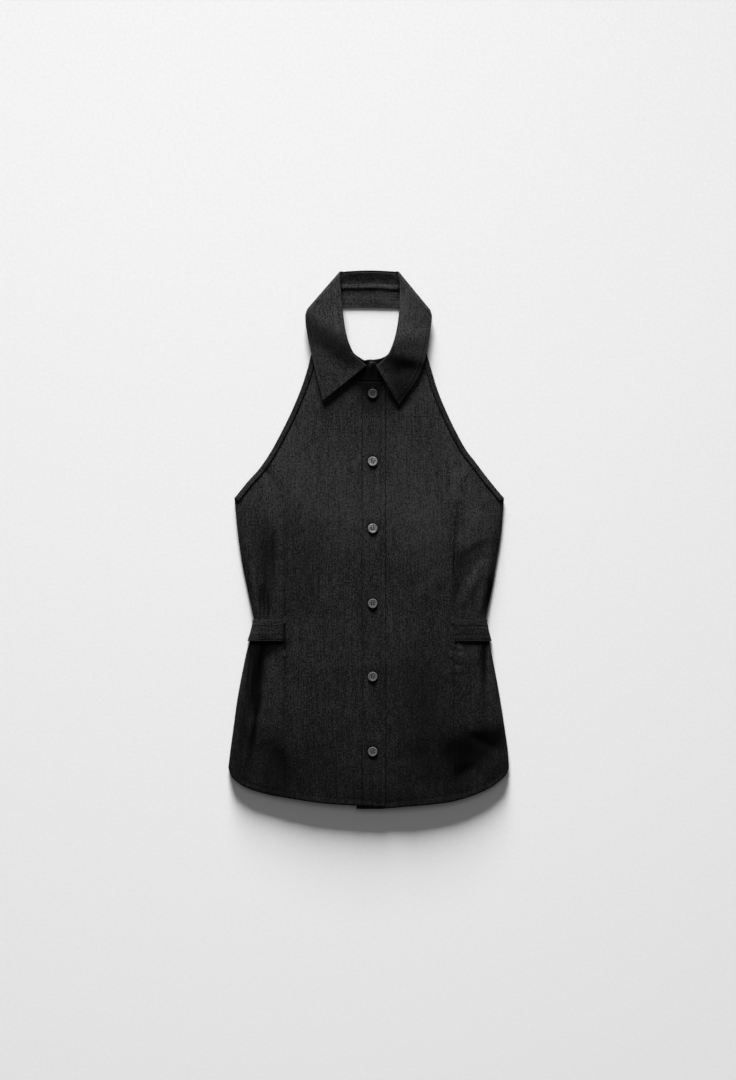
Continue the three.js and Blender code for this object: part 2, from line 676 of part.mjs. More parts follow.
add("back", back(), LINEN);
add("front_centre_left", centrePanel("left", COLLAR_LEFT, PLACKET_SEAM - SEAM, frontHeight), LINEN);
add("front_centre_right", centrePanel("right", COLLAR_RIGHT, STAND_SEAM, underHeight), LINEN);
["left", "right"].forEach((side) => {
  add("front_side_" + side, sidePanel(side), LINEN);
  add("armhole_band_" + side, armholeBand(side), LINEN_BAND);
  add("belt_tab_" + side, beltTab(side), LINEN);
});
add("belt_back", backBelt(), LINEN);
add("placket", placket(), LINEN);
add("button_stand", buttonStand(), LINEN);
add("collar_stand", collarStand(), LINEN);
add("collar_leaf", collarLeaf(), LINEN);
BUTTON_HEIGHTS.forEach((y, i) => {
  const mesh = add("button_" + (i + 1), button(), BUTTON, 0.25);
  mesh.position.set(BUTTON_X, y, frontHeight(BUTTON_X, y) + GAP);
});

export default top;
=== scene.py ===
import bisect
import itertools
import math

import bmesh
import bpy
from mathutils import Matrix, Vector, noise


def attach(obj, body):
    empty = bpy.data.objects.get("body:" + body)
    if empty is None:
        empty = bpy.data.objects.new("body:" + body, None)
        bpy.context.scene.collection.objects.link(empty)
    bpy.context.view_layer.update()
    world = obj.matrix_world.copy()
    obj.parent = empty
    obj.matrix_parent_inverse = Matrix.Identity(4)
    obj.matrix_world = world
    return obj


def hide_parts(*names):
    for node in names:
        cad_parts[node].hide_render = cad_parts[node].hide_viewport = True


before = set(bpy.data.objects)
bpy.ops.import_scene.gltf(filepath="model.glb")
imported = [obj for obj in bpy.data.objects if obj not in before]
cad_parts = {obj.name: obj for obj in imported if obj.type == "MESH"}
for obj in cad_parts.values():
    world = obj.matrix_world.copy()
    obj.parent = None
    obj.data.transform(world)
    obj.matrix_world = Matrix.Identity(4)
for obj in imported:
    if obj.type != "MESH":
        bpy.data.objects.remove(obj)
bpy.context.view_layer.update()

# Halter neck top in dark linen, laid flat on its back. Sizes are in millimetres until
# a piece is made. +X is the right of the laid garment, +Y its neck, +Z up.
MM = 0.001


def table(columns, *rows):
    """Rows of a table, each with its columns' names."""
    names = columns.split()
    return [{name: value for name, value in zip(names, row) if value is not None} for row in rows]


def lerp(a, b, t):
    return a + (b - a) * t


def clamp(x, low=0.0, high=1.0):
    return max(low, min(high, x))


def smoothstep(x, low, high):
    t = clamp((x - low) / (high - low))
    return t * t * (3 - 2 * t)


def hump(x):
    """1 at the middle and nothing far off."""
    return math.exp(-x * x)


def curve(rows, key, column):
    """A table's column as a smooth function of its key."""
    rows = [row for row in rows if column in row]
    places = [row[key] for row in rows]
    values = [row[column] for row in rows]
    last = len(rows) - 1
    rates = [(values[i + 1] - values[i]) / (places[i + 1] - places[i]) for i in range(last)]
    slopes = [rates[0], *((a + b) / 2 for a, b in zip(rates, rates[1:])), rates[-1]]

    def value(at):
        place = clamp(at, places[0], places[last])
        i = min(max(bisect.bisect_right(places, place) - 1, 0), last - 1)
        span = places[i + 1] - places[i]
        t = (place - places[i]) / span
        bend = span * t * (1 - t) * ((1 - t) * slopes[i] - t * slopes[i + 1])
        return lerp(values[i], values[i + 1], t * t * (3 - 2 * t)) + bend

    return value


def placed(name, data):
    """Puts a new object into the scene."""
    thing = bpy.data.objects.new(name, data)
    bpy.context.scene.collection.objects.link(thing)
    return thing


def mesh_of(name, bm):
    """The mesh of a finished shape."""
    mesh = bpy.data.meshes.new(name)
    bm.to_mesh(mesh)
    bm.free()
    return mesh


# Camera
PHOTO_LONG_SIDE = 1436.4 * MM
LENS, SENSOR = 85, 36
LEVEL = 7 * MM
PHOTO_MIDDLE = -0.86 * MM, -0.33 * MM
lens = bpy.data.cameras.new("camera")
lens.lens = LENS
lens.sensor_width = SENSOR
lens.clip_end = 20
camera = placed("camera", lens)
camera.location = (*PHOTO_MIDDLE, PHOTO_LONG_SIDE * LENS / SENSOR + LEVEL)
bpy.context.scene.camera = camera

# Sizes. CLOTH and GAP are the wall and the seam of the solids. Here SHELL is the wall, SEAM
# half the gap at a seam, CELL a step of the cloth's grid, TURN the narrow step at a free
# edge and EDGE_DROP how far that edge is turned down.
CLOTH = 1.2
GAP = 0.3
LAYER = CLOTH + GAP
SEAM = 0.02
SHELL = 0.95
CELL = 2.2
TURN = 0.45
EDGE_DROP = 0.3

PLACKET_SEAM, PLACKET_EDGE = -9.1, 22.4
PLACKET_TOP, PLACKET_FOOT = 211.0, -353.6
STAND_EDGE, STAND_SEAM, STAND_FOOT, STAND_BLEND = -16.2, 19.8, -357.7, 60
BUTTON_X = 5.4
BUTTON_HEIGHTS = (194.1, 104.1, 15.0, -84.8, -181.9, -281.6)
BAND_WIDTH, BAND_CLOTH, BAND_GAP, BAND_TOP = 7, 1.0, 0.5, 272.0
BELT_TOP, BELT_FOOT, BELT_START, BELT_JOIN = -106.7, -134.7, 113.6, 100
BELT_WIDTH = BELT_TOP - BELT_FOOT
BELT_FLARE, BELT_EASE, BELT_RAMP, BELT_CLEAR = 1.4, 0.5, 13, 2
BACK_TOP, BACK_DIP, BACK_INSET, BACK_HEM_LIFT = 48, 6, 0.8, 3
FOLD_RADIUS, STAND_TOP_SET, STAND_FOLD = 4, 1.5, 33
STAND_RADIUS = FOLD_RADIUS - LAYER
NECK_TUCK, BACK_RISE = 2.0, 1.4
STAND_PROUD = 4.4
UNDERARM = 55.0
PRINCESS_TOP = 106.0
NECK_SINK, FRONT_LENGTH = 1.8, 560
LEAF_DEPTH, LEAF_HEM_ROW = 64, 2.2
LEAF_FRONT_STEP, LEAF_EDGE_STEP = 19, 26
# Distances of the stitch rows from their edges and seams
TOPSTITCH, SEAM_ROW, PLACKET_ROW = 6.5, 2.8, 1.6
UP = Vector((0, 0, 1))

ARMHOLE = table(
    "y left right",
    (55, -178.7, 180.3), (78.8, -159.5, 160.6), (92.1, -147.4, 150.5),
    (105.4, -137.7, 140.6), (118.7, -129.3, 130.4), (145.3, -115.1, 115.6),
    (171.9, -102.1, 102.9), (198.5, -91, 92.1), (225.1, -82.1, 84),
    (246.4, -76.8, 77.8), (272, -69.2, 71.4), (300, -59.6, 63.4),
)
SIDE = table(
    "y left right",
    (-303.6, -186.9, 186.9), (-280.3, -184.1, 185.3), (-253.7, -180.5, 181.5),
    (-213.8, -175.1, 175.4), (-173.9, -167.7, 168.2), (-147.3, -161.9, 163),
    (-136.7, -158.6, 161), (-120, -154.4, 157.4), (-108, -152.7, 156.1),
    (-94.1, -155.4, 158.3), (-67.5, -161.2, 164.1), (-27.6, -169.2, 170.7),
    (12.3, -174.7, 176.8), (55, -178.7, 180.3),
)
PRINCESS = table(
    "y left right",
    (-345, -111, 115), (-240, -111.4, 113.6), (-107, -111.4, 111.6),
    (-27.6, -110.4, 112.8), (12.3, -109.6, 114.2), (46.4, -108.6, 118.4),
    (69.5, -110.4, 126), (86, -119.4, 132.6), (106, -134.4, 140.2),
)
HEM = table(
    "x y",
    (-186.9, -303.6), (-185.1, -310), (-174.4, -322.3),
    (-163.8, -329), (-131.9, -339), (-111, -342.8),
    (-57.4, -350.6), (-9.1, -353.8), (19.8, -357),
    (49, -354.8), (80.9, -352.1), (115, -347.2),
    (144.8, -337.6), (166.1, -327), (176.7, -318.4),
    (184.9, -309.6), (186.9, -303.6),
)
LIE = table(
    "y edge rise run crown",
    (-360, 2.95, 5, 10, 4.6),
    (-280, 2.95, 5, 10, 3.6),
    (-165, 2.95, 4.8, 10, 3.2),
    (-142, 4.1, 3.4, 10, 3.2),
    (-99, 4.1, 3.4, 10, 3.2),
    (-76, 2.95, 4.8, 10, 3.4),
    (20, 2.95, 4.6, 11, 3.8),
    (62, 2.4, 2.6, 12, 4.6),
    (120, 1.7, 1.4, 14, 5.4),
    (200, 1.7, 1.2, 14, 6),
    (235, 2.6, 0.8, 14, 5.4),
    (262, 4.4, 0.4, 14, 3.6),
    (300, 6.5, 0, 14, 0.8),
)
FOLDS = table(
    "x y lean wide long rise",
    (-147, -200, 0.12, 9, 130, -1.6),
    (-128, -18, 0, 8, 80, -1),
    (-142, -82, 0.1, 7, 50, -1.2),
    (139, -60, 0.38, 9, 76, 1.4),
    (152, -165, 0, 8, 62, -1.3),
    (150, -268, -1.4, 12, 44, -1.6),
    (128, -300, 0.4, 10, 66, -1.2),
)

# A crease has both ends, the half width and the amount. After these come how far its middle
# bows to the left of the way from the first end to the last, and how much steeper its left
# flank is. A row ends before those that are 0.
CREASE_COLUMNS = "x0 y0 x1 y1 wide amount bow skew"

# How far the front's creases rise
CREASES = table(
    CREASE_COLUMNS,
    # left of the waist, over the tab
    (-137, 26, -134, -74, 8, -1.5, 3, -0.2),
    (-126, 8, -126, -66, 3, -1.4, -1, 0.4),
    (-144, -58, -143, -108, 2.2, -1.1, 0, -0.3),
    (-137.5, -50, -136, -108, 1.8, -0.9, 1, -0.2),
    (-131, -64, -130, -108, 1.8, -0.7),
    (-154, -34, -148, -100, 3.6, 0.8, -2),
    (-158, 6, -150, -52, 5, 0.5, 2, 0.2),
    (-104, -36, -74, -66, 7, -0.3, 4),
    (-98, 24, -92, -80, 9, 0.45, 4),
    # left of the skirt, under the tab
    (-137, -128, -145, -204, 4.2, -3.2, -2, -0.35),
    (-143, -170, -158, -284, 3.6, -2, 4, -0.35),
    (-154, -246, -164, -312, 3.4, -1, 1, -0.2),
    (-152, -146, -161, -212, 4, 0.7),
    (-124, -138, -131, -206, 6, 0.8, 1),
    (-117, -150, -118, -214, 4.5, -0.4, 1),
    (-136, -268, -104, -340, 13, -1.9, 6, 0.2),
    (-96, -210, -92, -300, 10, 0.5, 5),
    (-62, -240, -70, -340, 14, -0.7, -4),
    # right of the waist
    (116, -25, 164, 4, 5, 0.7, 4),
    (112, -36, 166, -4, 12, -0.8, 3, 0.2),
    (154, -28, 134, -78, 5.5, 0.8, -3),
    (160, -50, 153, -106, 3, -2.6, 2, 0.3),
    (150, -62, 146, -104, 3, 0.6, 1),
    (119, -56, 117, -98, 4, -1.1, 0, 0.3),
    (118, 34, 116, -30, 2.4, -1.3, 0, -0.4),
    (128, -66, 127, -106, 2.4, 0.6),
    (96, -20, 52, -70, 11, -0.7, 4),
    (40, -30, 84, 6, 12, 0.5, 3),
    # right of the skirt, under the tab
    (156, -130, 153, -196, 3.8, -2.6, -1, 0.4),
    (120, -134, 121, -160, 3.6, 1.2),
    (110, -146, 126, -150, 2.4, -1.1, 0, 0.4),
    (112, -164, 128, -168, 2.4, -0.9, 0, 0.4),
    (112, -180, 124, -182, 2.2, -0.6, 0, 0.3),
    (138, -190, 142, -246, 8, 0.6, 2),
    (104, -290, 188, -260, 18, -1.1, -2, 0.3),
    (112, -322, 146, -300, 9, -1.6, 2, 0.3),
    (146, -330, 188, -292, 9, 0.6, 3, -0.2),
    (70, -262, 78, -344, 12, -0.6, 3),
    (30, -296, 96, -284, 12, -0.7, 3, 0.2),
    # chest, under the collar and at the armholes
    (-70, 168, -84, 92, 9, -0.5, 4),
    (-58, 150, -52, 40, 12, 0.5, -4),
    (-34, 184, -38, 80, 7, -0.35, 3),
    (-100, 120, -92, 30, 8, 0.45, -3),
    (74, 176, 62, 60, 11, -0.45, 3),
    (44, 170, 40, 70, 8, 0.35, -3),
    (-138, 96, -118, 60, 2.4, -0.9, 2, 0.3),
    (-146, 98, -128, 84, 3, -0.9, 1, 0.3),
    (138, 90, 120, 60, 3.2, -0.8, -2),
    (-96, 178, -110, 128, 5, -0.4, -2),
    (98, 176, 112, 128, 5, -0.35, 2),
    (-160, 58, -138, 20, 6, 0.4, 3),
    (164, 62, 146, 22, 7, 0.5, -3),
    # under the collar's points
    (-76, 190, -46, 172, 6, -0.5),
    (28, 170, 58, 184, 6, -0.5),
)

# Painted shade on the front: darker in its folds, under the tabs and the collar and in the hollows
# of the skirt.
# Below 0 it is a painted highlight.
SHADE_ROWS = table(
    CREASE_COLUMNS,
    # left of the waist and of the skirt
    (-138, 26, -136, -112, 9, 0.5, 2),
    (-127, 10, -127, -70, 2.6, 0.5),
    (-144.5, -58, -144, -116, 2, 0.7),
    (-139.5, -54, -139, -116, 1.8, 0.7),
    (-133.7, -64, -133, -116, 2, 0.7),
    (-152, -20, -150, -104, 3.5, -0.25, -1),
    (-166, -140, -104, -139, 8, 1.1),
    (-164, -144, -118, -144, 13, 1.1, 2),
    (-139, -110, -152, -236, 7, 1.4, -3, -0.4),
    (-146, -176, -164, -312, 4.2, 0.8, 4, -0.3),
    (-150, -120, -170, -280, 10, 0.55),
    (-155, -134, -163, -206, 2.8, 0.5),
    (-150, -240, -106, -348, 18, 0.5, 7, 0.2),
    (-160, -330, -96, -342, 8, 0.35),
    (-170, -190, -176, -352, 15, 0.35),
    (-124, -134, -134, -214, 5, -0.2, 2),
    (-158, 70, -148, -80, 20, 0.28, 3),
    (-100, 60, -84, -110, 30, 0.26, 5),
    (-111.6, -94, -111.6, -162, 3.2, 0.35),
    # right of the waist and of the skirt
    (106, -32, 170, 8, 13, 0.36, 2, 0.2),
    (112, -42, 152, -18, 9, 0.3),
    (121, -10, 118, -94, 6, 0.4),
    (163, -42, 153, -106, 5, 1.1, 2),
    (160, -20, 130, -84, 6, -0.2, -3),
    (110, -138, 166, -138, 3.4, 0.85),
    (157, -128, 153, -204, 4.2, 0.95, -1, 0.3),
    (154, -170, 150, -262, 5, 0.4),
    (166, -140, 176, -240, 6, 0.3),
    (121, -136, 122, -160, 4, -0.7),
    (118, -158, 120, -184, 3, -0.3),
    (92, -284, 200, -250, 20, 1.15, -2, 0.1),
    (146, -262, 118, -346, 15, 0.5, -4),
    (146, -318, 190, -296, 14, 0.3, 2),
    (50, -120, 90, -330, 40, 0.56, 6),
    (70, -290, 110, -352, 24, 0.15),
    (-60, -150, -70, -350, 30, 0.16),
    (-30, -346, 110, -346, 9, 0.3),
    # chest
    (-140, 96, -116, 62, 2.2, 0.35, 2, 0.3),
    (-128, 72, -110, 40, 3, 0.25, 2, 0.3),
    (130, 104, 108, 56, 6, -0.25),
    (-50, 152, -46, 56, 8, -0.14),
    (40, 150, 36, 60, 9, -0.1),
    (-90, 150, -96, 60, 7, -0.12),
    (69, 60, 69, -50, 30, -0.26),
    (144, 60, 140, -24, 15, -0.4),
    # under the collar
    (-28, 226, 26, 214, 16, 1),
    (4, 244, 6, 160, 22, 0.95),
    (-60, 178, 2, 226, 7, 0.5),
    (-76, 180, -52, 168, 7, 0.3),
    (32, 172, 66, 196, 7, 0.4),
)

# The stand goes on past the front end of the leaf, so its last rows have no roll and edge
NO_LEAF = [None] * 6
COLLAR_COLUMNS = "at rollX rollY rollZ edgeX edgeY edgeZ standX standY standZ seamX seamY bulge"
COLLAR = {
    "left": {
        "corner": Vector((-39.0, 356.6)),
        "foot": Vector((-81.0, 308.2)),
        "reach": 5.0,
        "rows": table(
            COLLAR_COLUMNS,
            (1, -38.2, 338, 8.6, -84.2, 297, 7.6, -39.2, 337, 6.9, -59.7, 317, 0.5),
            (2, -35.9, 315, 10.2, -83.6, 285, 7.4, -36.7, 315, 8.2, -59.6, 304, 1),
            (3, -33.3, 290, 13, -80.6, 267, 7.6, -34.1, 290, 10.8, -56.8, 284, 1.5),
            (4, -28.8, 267, 15, -76, 246, 8.6, -29.4, 266.6, 12.6, -51, 260, 1.6),
            (5, -21.3, 249, 14.8, -71.4, 227, 9.4, -20.9, 249.6, 12.4, -40, 236, 1.6),
            (6, -12, 238, 13.4, -66.3, 206, 10, -11, 241.6, 11, -27, 220.5, 1.5),
            (7, -2.9, 231.1, 12.6, -60.7, 184.5, 10.2, -1.6, 236.8, 10.4, -10, 212.2, 1.5),
            (8, *NO_LEAF, 8.5, 235, 10.2, 6, 211.3),
            (9, *NO_LEAF, 19.5, 228, 10, 19.5, 211.3),
        ),
    },
    "right": {
        "corner": Vector((40.5, 356.6)),
        "foot": Vector((81.7, 306.6)),
        "reach": 4.2,
        "rows": table(
            COLLAR_COLUMNS,
            (1, 42.2, 338, 8.6, 84.2, 296, 7.6, 43, 337, 6.9, 63, 317, 0.5),
            (2, 41.7, 315, 10.2, 83, 284, 7.4, 42.5, 315, 8.2, 63.4, 304, 1),
            (3, 39.8, 291, 13, 80, 266, 7.6, 40.6, 291, 10.8, 61, 284, 1.5),
            (4, 35.3, 268, 15.2, 77, 248, 8.6, 35.9, 267.6, 12.7, 56, 258, 1.6),
            (5, 27.6, 247.5, 15, 72.5, 232, 9.4, 27.4, 248.6, 11.8, 46, 234, 1.6),
            (6, 18.8, 237.6, 14, 63, 210.3, 10, 18.6, 242, 9.6, 34, 219, 1.5),
            (7, 9.8, 230.4, 13.2, 40.4, 178.6, 10.2, 8.8, 239.8, 8.5, 19.6, 212, 1.5),
            (8, *NO_LEAF, -1.5, 239, 8.4, 2.5, 211.3),
            (9, *NO_LEAF, -12, 236, 8.3, -14, 211.3),
        ),
    },
}

INWARDS = {"left": 1, "right": -1}

# Form of the front
armhole_x = {side: curve(ARMHOLE, "y", side) for side in INWARDS}
side_x = {side: curve(SIDE, "y", side) for side in INWARDS}
princess_x = {side: curve(PRINCESS, "y", side) for side in INWARDS}
hem_y = curve(HEM, "x", "y")
lie = {column: curve(LIE, "y", column) for column in ("edge", "rise", "run", "crown")}


def outline_x(side, y):
    return armhole_x[side](y) if y > UNDERARM else side_x[side](y)


def creased(rows):
    """The creases of a table as a function of the place."""
    lines = []
    for row in rows:
        start, end = Vector((row["x0"], row["y0"])), Vector((row["x1"], row["y1"]))
        way = (end - start).normalized()
        bow, skew = row.get("bow", 0), row.get("skew", 0)
        reach = 3 * row["wide"] + abs(bow)
        low = min(start.x, end.x) - reach, min(start.y, end.y) - reach
        high = max(start.x, end.x) + reach, max(start.y, end.y) + reach
        lines.append((row, bow, skew, start, way, (end - start).length, low, high))

    def amount(x, y):
        total = 0.0
        for row, bow, skew, start, way, length, low, high in lines:
            if not (low[0] < x < high[0] and low[1] < y < high[1]):
                continue
            px, py = x - start.x, y - start.y
            along = (px * way.x + py * way.y) / length
            if 0 < along < 1:
                aside = py * way.x - px * way.y - bow * 4 * along * (1 - along)
                wide = row["wide"] * (1 - skew * math.tanh(aside / row["wide"]))
                total += row["amount"] * hump(aside / wide) * math.sin(math.pi * along) ** 0.8
        return total

    return amount


front_creases = creased(CREASES)
front_shade_rows = creased(SHADE_ROWS)


def drape(x, y):
    """Slow unevenness of cloth that was pressed and laid down."""
    long_waves = noise.noise(Vector((x / 24, y / 110, 2.3)))
    broad = noise.noise(Vector((x / 60, y / 75, 7.1)))
    small = noise.noise(Vector((x / 9, y / 14, 4.7)))
    return 0.42 * long_waves + 0.7 * broad + 0.07 * small


def pucker(d, along, seed, reach=3.6):
    """Ripples that a row of stitches draws up, by the distance from it and the place on it."""
    return 0.16 * hump(d / reach) * noise.noise(Vector((along / 4.2, d / 9, seed)))


def sewing(x, y):
    """Relief of the seams and the hem."""
    relief = 0.0
    for side in INWARDS:
        if y < PRINCESS_TOP:
            d = x - princess_x[side](y)
            if abs(d) < 14:
                from_row = abs(d) - SEAM_ROW
                relief += 0.25 * math.exp(-((d / 3.2) ** 4)) - 0.12 * hump(from_row / 0.9)
                relief += 1.5 * pucker(from_row, y, 11 * INWARDS[side])
    up = y - hem_y(x)
    if up < 20:
        relief += 0.35 * smoothstep(-up, -7.2, -5.2)
        relief -= 0.25 * hump((up - TOPSTITCH) / 1.1)
        relief += 1.7 * pucker(up - TOPSTITCH, x, 5.0, 5.0)
    return relief


HEIGHTS = {}


def front_height(x, y):
    """Height of the front cloth's upper face over the surface."""
    key = (round(x, 3), round(y, 3))
    if key in HEIGHTS:
        return HEIGHTS[key]
    left, right = outline_x("left", y), outline_x("right", y)
    half = (right - left) / 2
    q = min(1.0, abs(x - (left + right) / 2) / half)
    rounded = math.sin(min(1.0, (1 - q) * half / lie["run"](y)) * math.pi / 2)
    rise = lie["rise"](y)
    for row in FOLDS:
        along = abs(y - row["y"]) / (row["long"] / 2)
        if along < 1:
            across = (x - row["x"] - row["lean"] * (y - row["y"])) / row["wide"]
            rise += row["rise"] * hump(across) * math.cos(along * math.pi / 2) ** 2
    rise += front_creases(x, y) + drape(x, y) + sewing(x, y)
    HEIGHTS[key] = lie["edge"](y) + rounded * rise + lie["crown"](y) * (1 - q * q)
    return HEIGHTS[key]


def under_height(x, y):
    """The right front, one layer lower where the placket covers it."""
    pressed = 0.5 * hump((x - PLACKET_EDGE - 1.3) / 1.3)
    return front_height(x, y) - LAYER * (1 - smoothstep(x, PLACKET_EDGE, STAND_BLEND)) - pressed


def on_front(x, y):
    return Vector((x, y, front_height(x, y)))


def over_front(x, y, out):
    """A point over the front cloth, moved out from its upper face."""
    step = 0.5
    slope_x = (front_height(x + step, y) - front_height(x - step, y)) / (2 * step)
    slope_y = (front_height(x, y + step) - front_height(x, y - step)) / (2 * step)
    return on_front(x, y) + Vector((-slope_x, -slope_y, 1)).normalized() * out


def patch(left, right, foot, top, height):
    """Patch between four edges: left and right run up, foot and top run to the right."""
    corners = foot(0), foot(1), top(0), top(1)

    def point(u, v):
        p = left(v).lerp(right(v), u) + foot(u).lerp(top(u), v)
        p -= corners[0].lerp(corners[1], u).lerp(corners[2].lerp(corners[3], u), v)
        return Vector((p.x, p.y, height(p.x, p.y)))

    return point


def princess(side, t, shift):
    y = lerp(hem_y(PRINCESS[0][side]), PRINCESS_TOP, t)
    return Vector((princess_x[side](y) + shift, y))


def armhole(side, low, high, t):
    y = lerp(low, high, t)
    return Vector((armhole_x[side](y), y))


# Form of the collar
def neck_turn(side, along, radius, angle):
    """A point of the collar's turn at the side of the neck."""
    collar = COLLAR[side]
    down = (collar["foot"] - collar["corner"]).normalized()
    inside = Vector((-down.y, down.x)) * -math.copysign(1, down.x)
    lean = abs(down.x / down.y) * radius * angle / (math.pi / 2)
    p = collar["corner"] + down * (along + lean)
    p += inside * (FOLD_RADIUS - radius * math.cos(angle))
    return Vector((p.x, p.y, FOLD_RADIUS + radius * math.sin(angle)))


for side, collar in COLLAR.items():
    collar["depth"] = (collar["foot"] - collar["corner"]).length
    first = {"at": 0, "bulge": 0}
    for name, along, radius in (
        ("roll", 0, FOLD_RADIUS),
        ("edge", collar["depth"] + collar["reach"], FOLD_RADIUS),
        ("stand", STAND_TOP_SET, STAND_RADIUS),
        ("seam", STAND_FOLD, STAND_RADIUS),
    ):
        p = neck_turn(side, along, radius, math.pi / 2)
        first.update({name + "X": p.x, name + "Y": p.y, name + "Z": p.z})
    rows = [first, *collar["rows"]]
    collar["curves"] = {
        column: curve(rows, "at", column)
        for column in COLLAR_COLUMNS.split()[1:]
    }

# Creases of the leaf, and its painted shade, with painted highlights where that is below 0
leaf_creases = creased(table(
    CREASE_COLUMNS,
    # left, from the neck to the point
    (-104, 312, -8, 262, 12, 0.8),
    (-92, 270, 2, 218, 12, -1.5, -3, 0.25),
    (-70, 326, -62, 286, 8, -0.5, 3),
    (-42, 336, -36, 272, 5, 0.5, 1),
    (-82, 226, -54, 180, 7, 0.5, 5),
    (-46, 224, -22, 192, 7, -0.4, 2),
    # right
    (18, 262, 100, 272, 11, 1.3, 2),
    (6, 226, 92, 226, 12, -1.5, -2, 0.35),
    (46, 322, 48, 268, 7, 0.8, -2),
    (72, 322, 66, 262, 7, -0.7, 2),
))
leaf_shade_rows = creased(table(
    CREASE_COLUMNS,
    (-106, 302, 12, 222, 16, 0.8, 0, 0.3),
    (-78, 236, -30, 212, 16, 0.15),
    (0, 248, 90, 222, 12, 0.95, 2, 0.3),
    (8, 216, 82, 180, 24, 0.85),
    (-24, 250, 2, 236, 3.2, -1.7),
    (8, 236, 30, 252, 3.2, -1.4),
    (44, 330, 46, 262, 8, -0.35, -2),
))
# Last stations of the leaf and the stand, counted from the neck to their front ends, steps
# from one to the next, and steps of each turn at the neck and behind it
LEAF_END, STAND_END = 7, 9
LEAF_STEPS, STAND_STEPS = 8, 6
TURNS, BACKS = 8, 30


def station(side, line, at):
    """Where a line of the collar is at a station: roll, edge, stand or seam."""
    value = COLLAR[side]["curves"]
    return [value[line + axis](at) for axis in "XYZ" if line + axis in value]


def leaf_row(side, at, share):
    roll, edge = station(side, "roll", at), station(side, "edge", at)
    x, y, z = (lerp(a, b, share) for a, b in zip(roll, edge))
    z += 4 * share * (1 - share) * COLLAR[side]["curves"]["bulge"](at)
    wave = 0.3 * noise.noise(Vector((at * 1.6, share * 2.2, 3 * INWARDS[side])))
    free = smoothstep(at, 0, 1.2) * math.sin(math.pi * clamp(0.06 + 0.88 * share)) ** 0.6
    z += (leaf_creases(x, y) + wave) * free
    from_edge = (1 - share) * math.dist(roll[:2], edge[:2])
    z -= 0.22 * hump((from_edge - TOPSTITCH) / 0.9)
    z += 1.2 * pucker(from_edge - TOPSTITCH, at * LEAF_EDGE_STEP, 8.0)
    from_front = (LEAF_END - at) * LEAF_FRONT_STEP
    if at > 5:
        z -= 0.22 * hump((from_front - TOPSTITCH) / 0.9)
    return Vector((x, y, z))


def stand_row(side, at, share):
    seam_x, seam_y = station(side, "seam", at)
    top_x, top_y, top = station(side, "stand", at)
    # Down the side of the neck, before its foot meets the front
    if at < 2:
        foot = lerp(6.5, front_height(-59.6, 300), at / 2)
    else:
        foot = (front_height if side == "left" else under_height)(seam_x, seam_y)
    shown = smoothstep(at, 6.9, 8.0)
    if side == "left":
        shown *= 1 - smoothstep(top_x, 3, 10)
    top += STAND_PROUD * shown
    hollow = lerp(1 - share, (1 - share) ** 2.2, shown)
    return Vector((
        lerp(top_x, seam_x, share), lerp(top_y, seam_y, share), foot + (top - foot) * hollow))


def collar_layer(per_station, last, depth, radius, top, front, back_relief):
    """Stations of a collar layer from its left front end, round the back, to its right end."""
    steps = last * per_station
    stations = [
        lambda share, at=(steps - k) / per_station: front("left", at, share)
        for k in range(steps + 1)
    ]

    def folded(side, k):
        angle = math.pi / 2 * (1 - 2 * k / TURNS)
        reach = depth(side, max(0, math.sin(angle)) ** 2)
        return lambda share: neck_turn(side, lerp(top, reach, share), radius, angle)

    stations += [folded("left", k) for k in range(1, TURNS + 1)]

    def across(t):
        def point(share):
            p = folded("left", TURNS)(share).lerp(folded("right", TURNS)(share), t)
            p.y += 4 * t * (1 - t) * BACK_RISE
            return p + back_relief(t, share) * min(1, 9 * t, 9 * (1 - t))
        return point

    stations += [across(k / BACKS) for k in range(1, BACKS)]
    stations += [folded("right", k) for k in range(TURNS, 0, -1)]
    stations += [
        lambda share, at=k / per_station: front("right", at, share) for k in range(steps + 1)
    ]
    return stations


def stand_back_relief(t, share):
    """The wavy ridge where the stand's foot is turned in behind the neck."""
    wave = 0.09 * noise.noise(Vector((t * 7, 0, 3)))
    ridge = hump((share - 0.9 - wave) / 0.13) * (1 + noise.noise(Vector((t * 12, 0, 6))))
    slope = 1 - smoothstep(share, -0.45, 0.6)
    low = 0.25 * (1 - smoothstep(share + wave, 0.68, 0.9))
    rise = 0.3 * ridge + 3.6 * slope - low + 0.12 * noise.noise(Vector((t * 6, share * 2, 9)))
    shorter = 3.0 + 1.8 * noise.noise(Vector((t * 4.5, 2, 8)))
    return Vector((0, shorter * smoothstep(share, 0.2, 1), rise))


def leaf_back_relief(t, share):
    return Vector((0, 0, 0.3 + 0.1 * noise.noise(Vector((t * 9, share * 3, 5)))))


LEAF_STATIONS = collar_layer(
    LEAF_STEPS, LEAF_END,
    lambda side, turned: COLLAR[side]["depth"] + COLLAR[side]["reach"] * turned,
    FOLD_RADIUS, 0, leaf_row, leaf_back_relief)
STAND_STATIONS = collar_layer(
    STAND_STEPS, STAND_END, lambda side, turned: STAND_FOLD, STAND_RADIUS, STAND_TOP_SET,
    stand_row, stand_back_relief)


def along_stations(stations):
    """The stations as one surface: u along the collar, v across it."""
    last = len(stations) - 1

    def point(u, v):
        place = clamp(u) * last
        k = min(int(place), last - 1)
        return stations[k](v).lerp(stations[k + 1](v), place - k)

    return point


leaf_surface = along_stations(LEAF_STATIONS)
stand_surface = along_stations(STAND_STATIONS)
ROLL_RADIUS = 0.8
ROLL_SHARE = 0.12


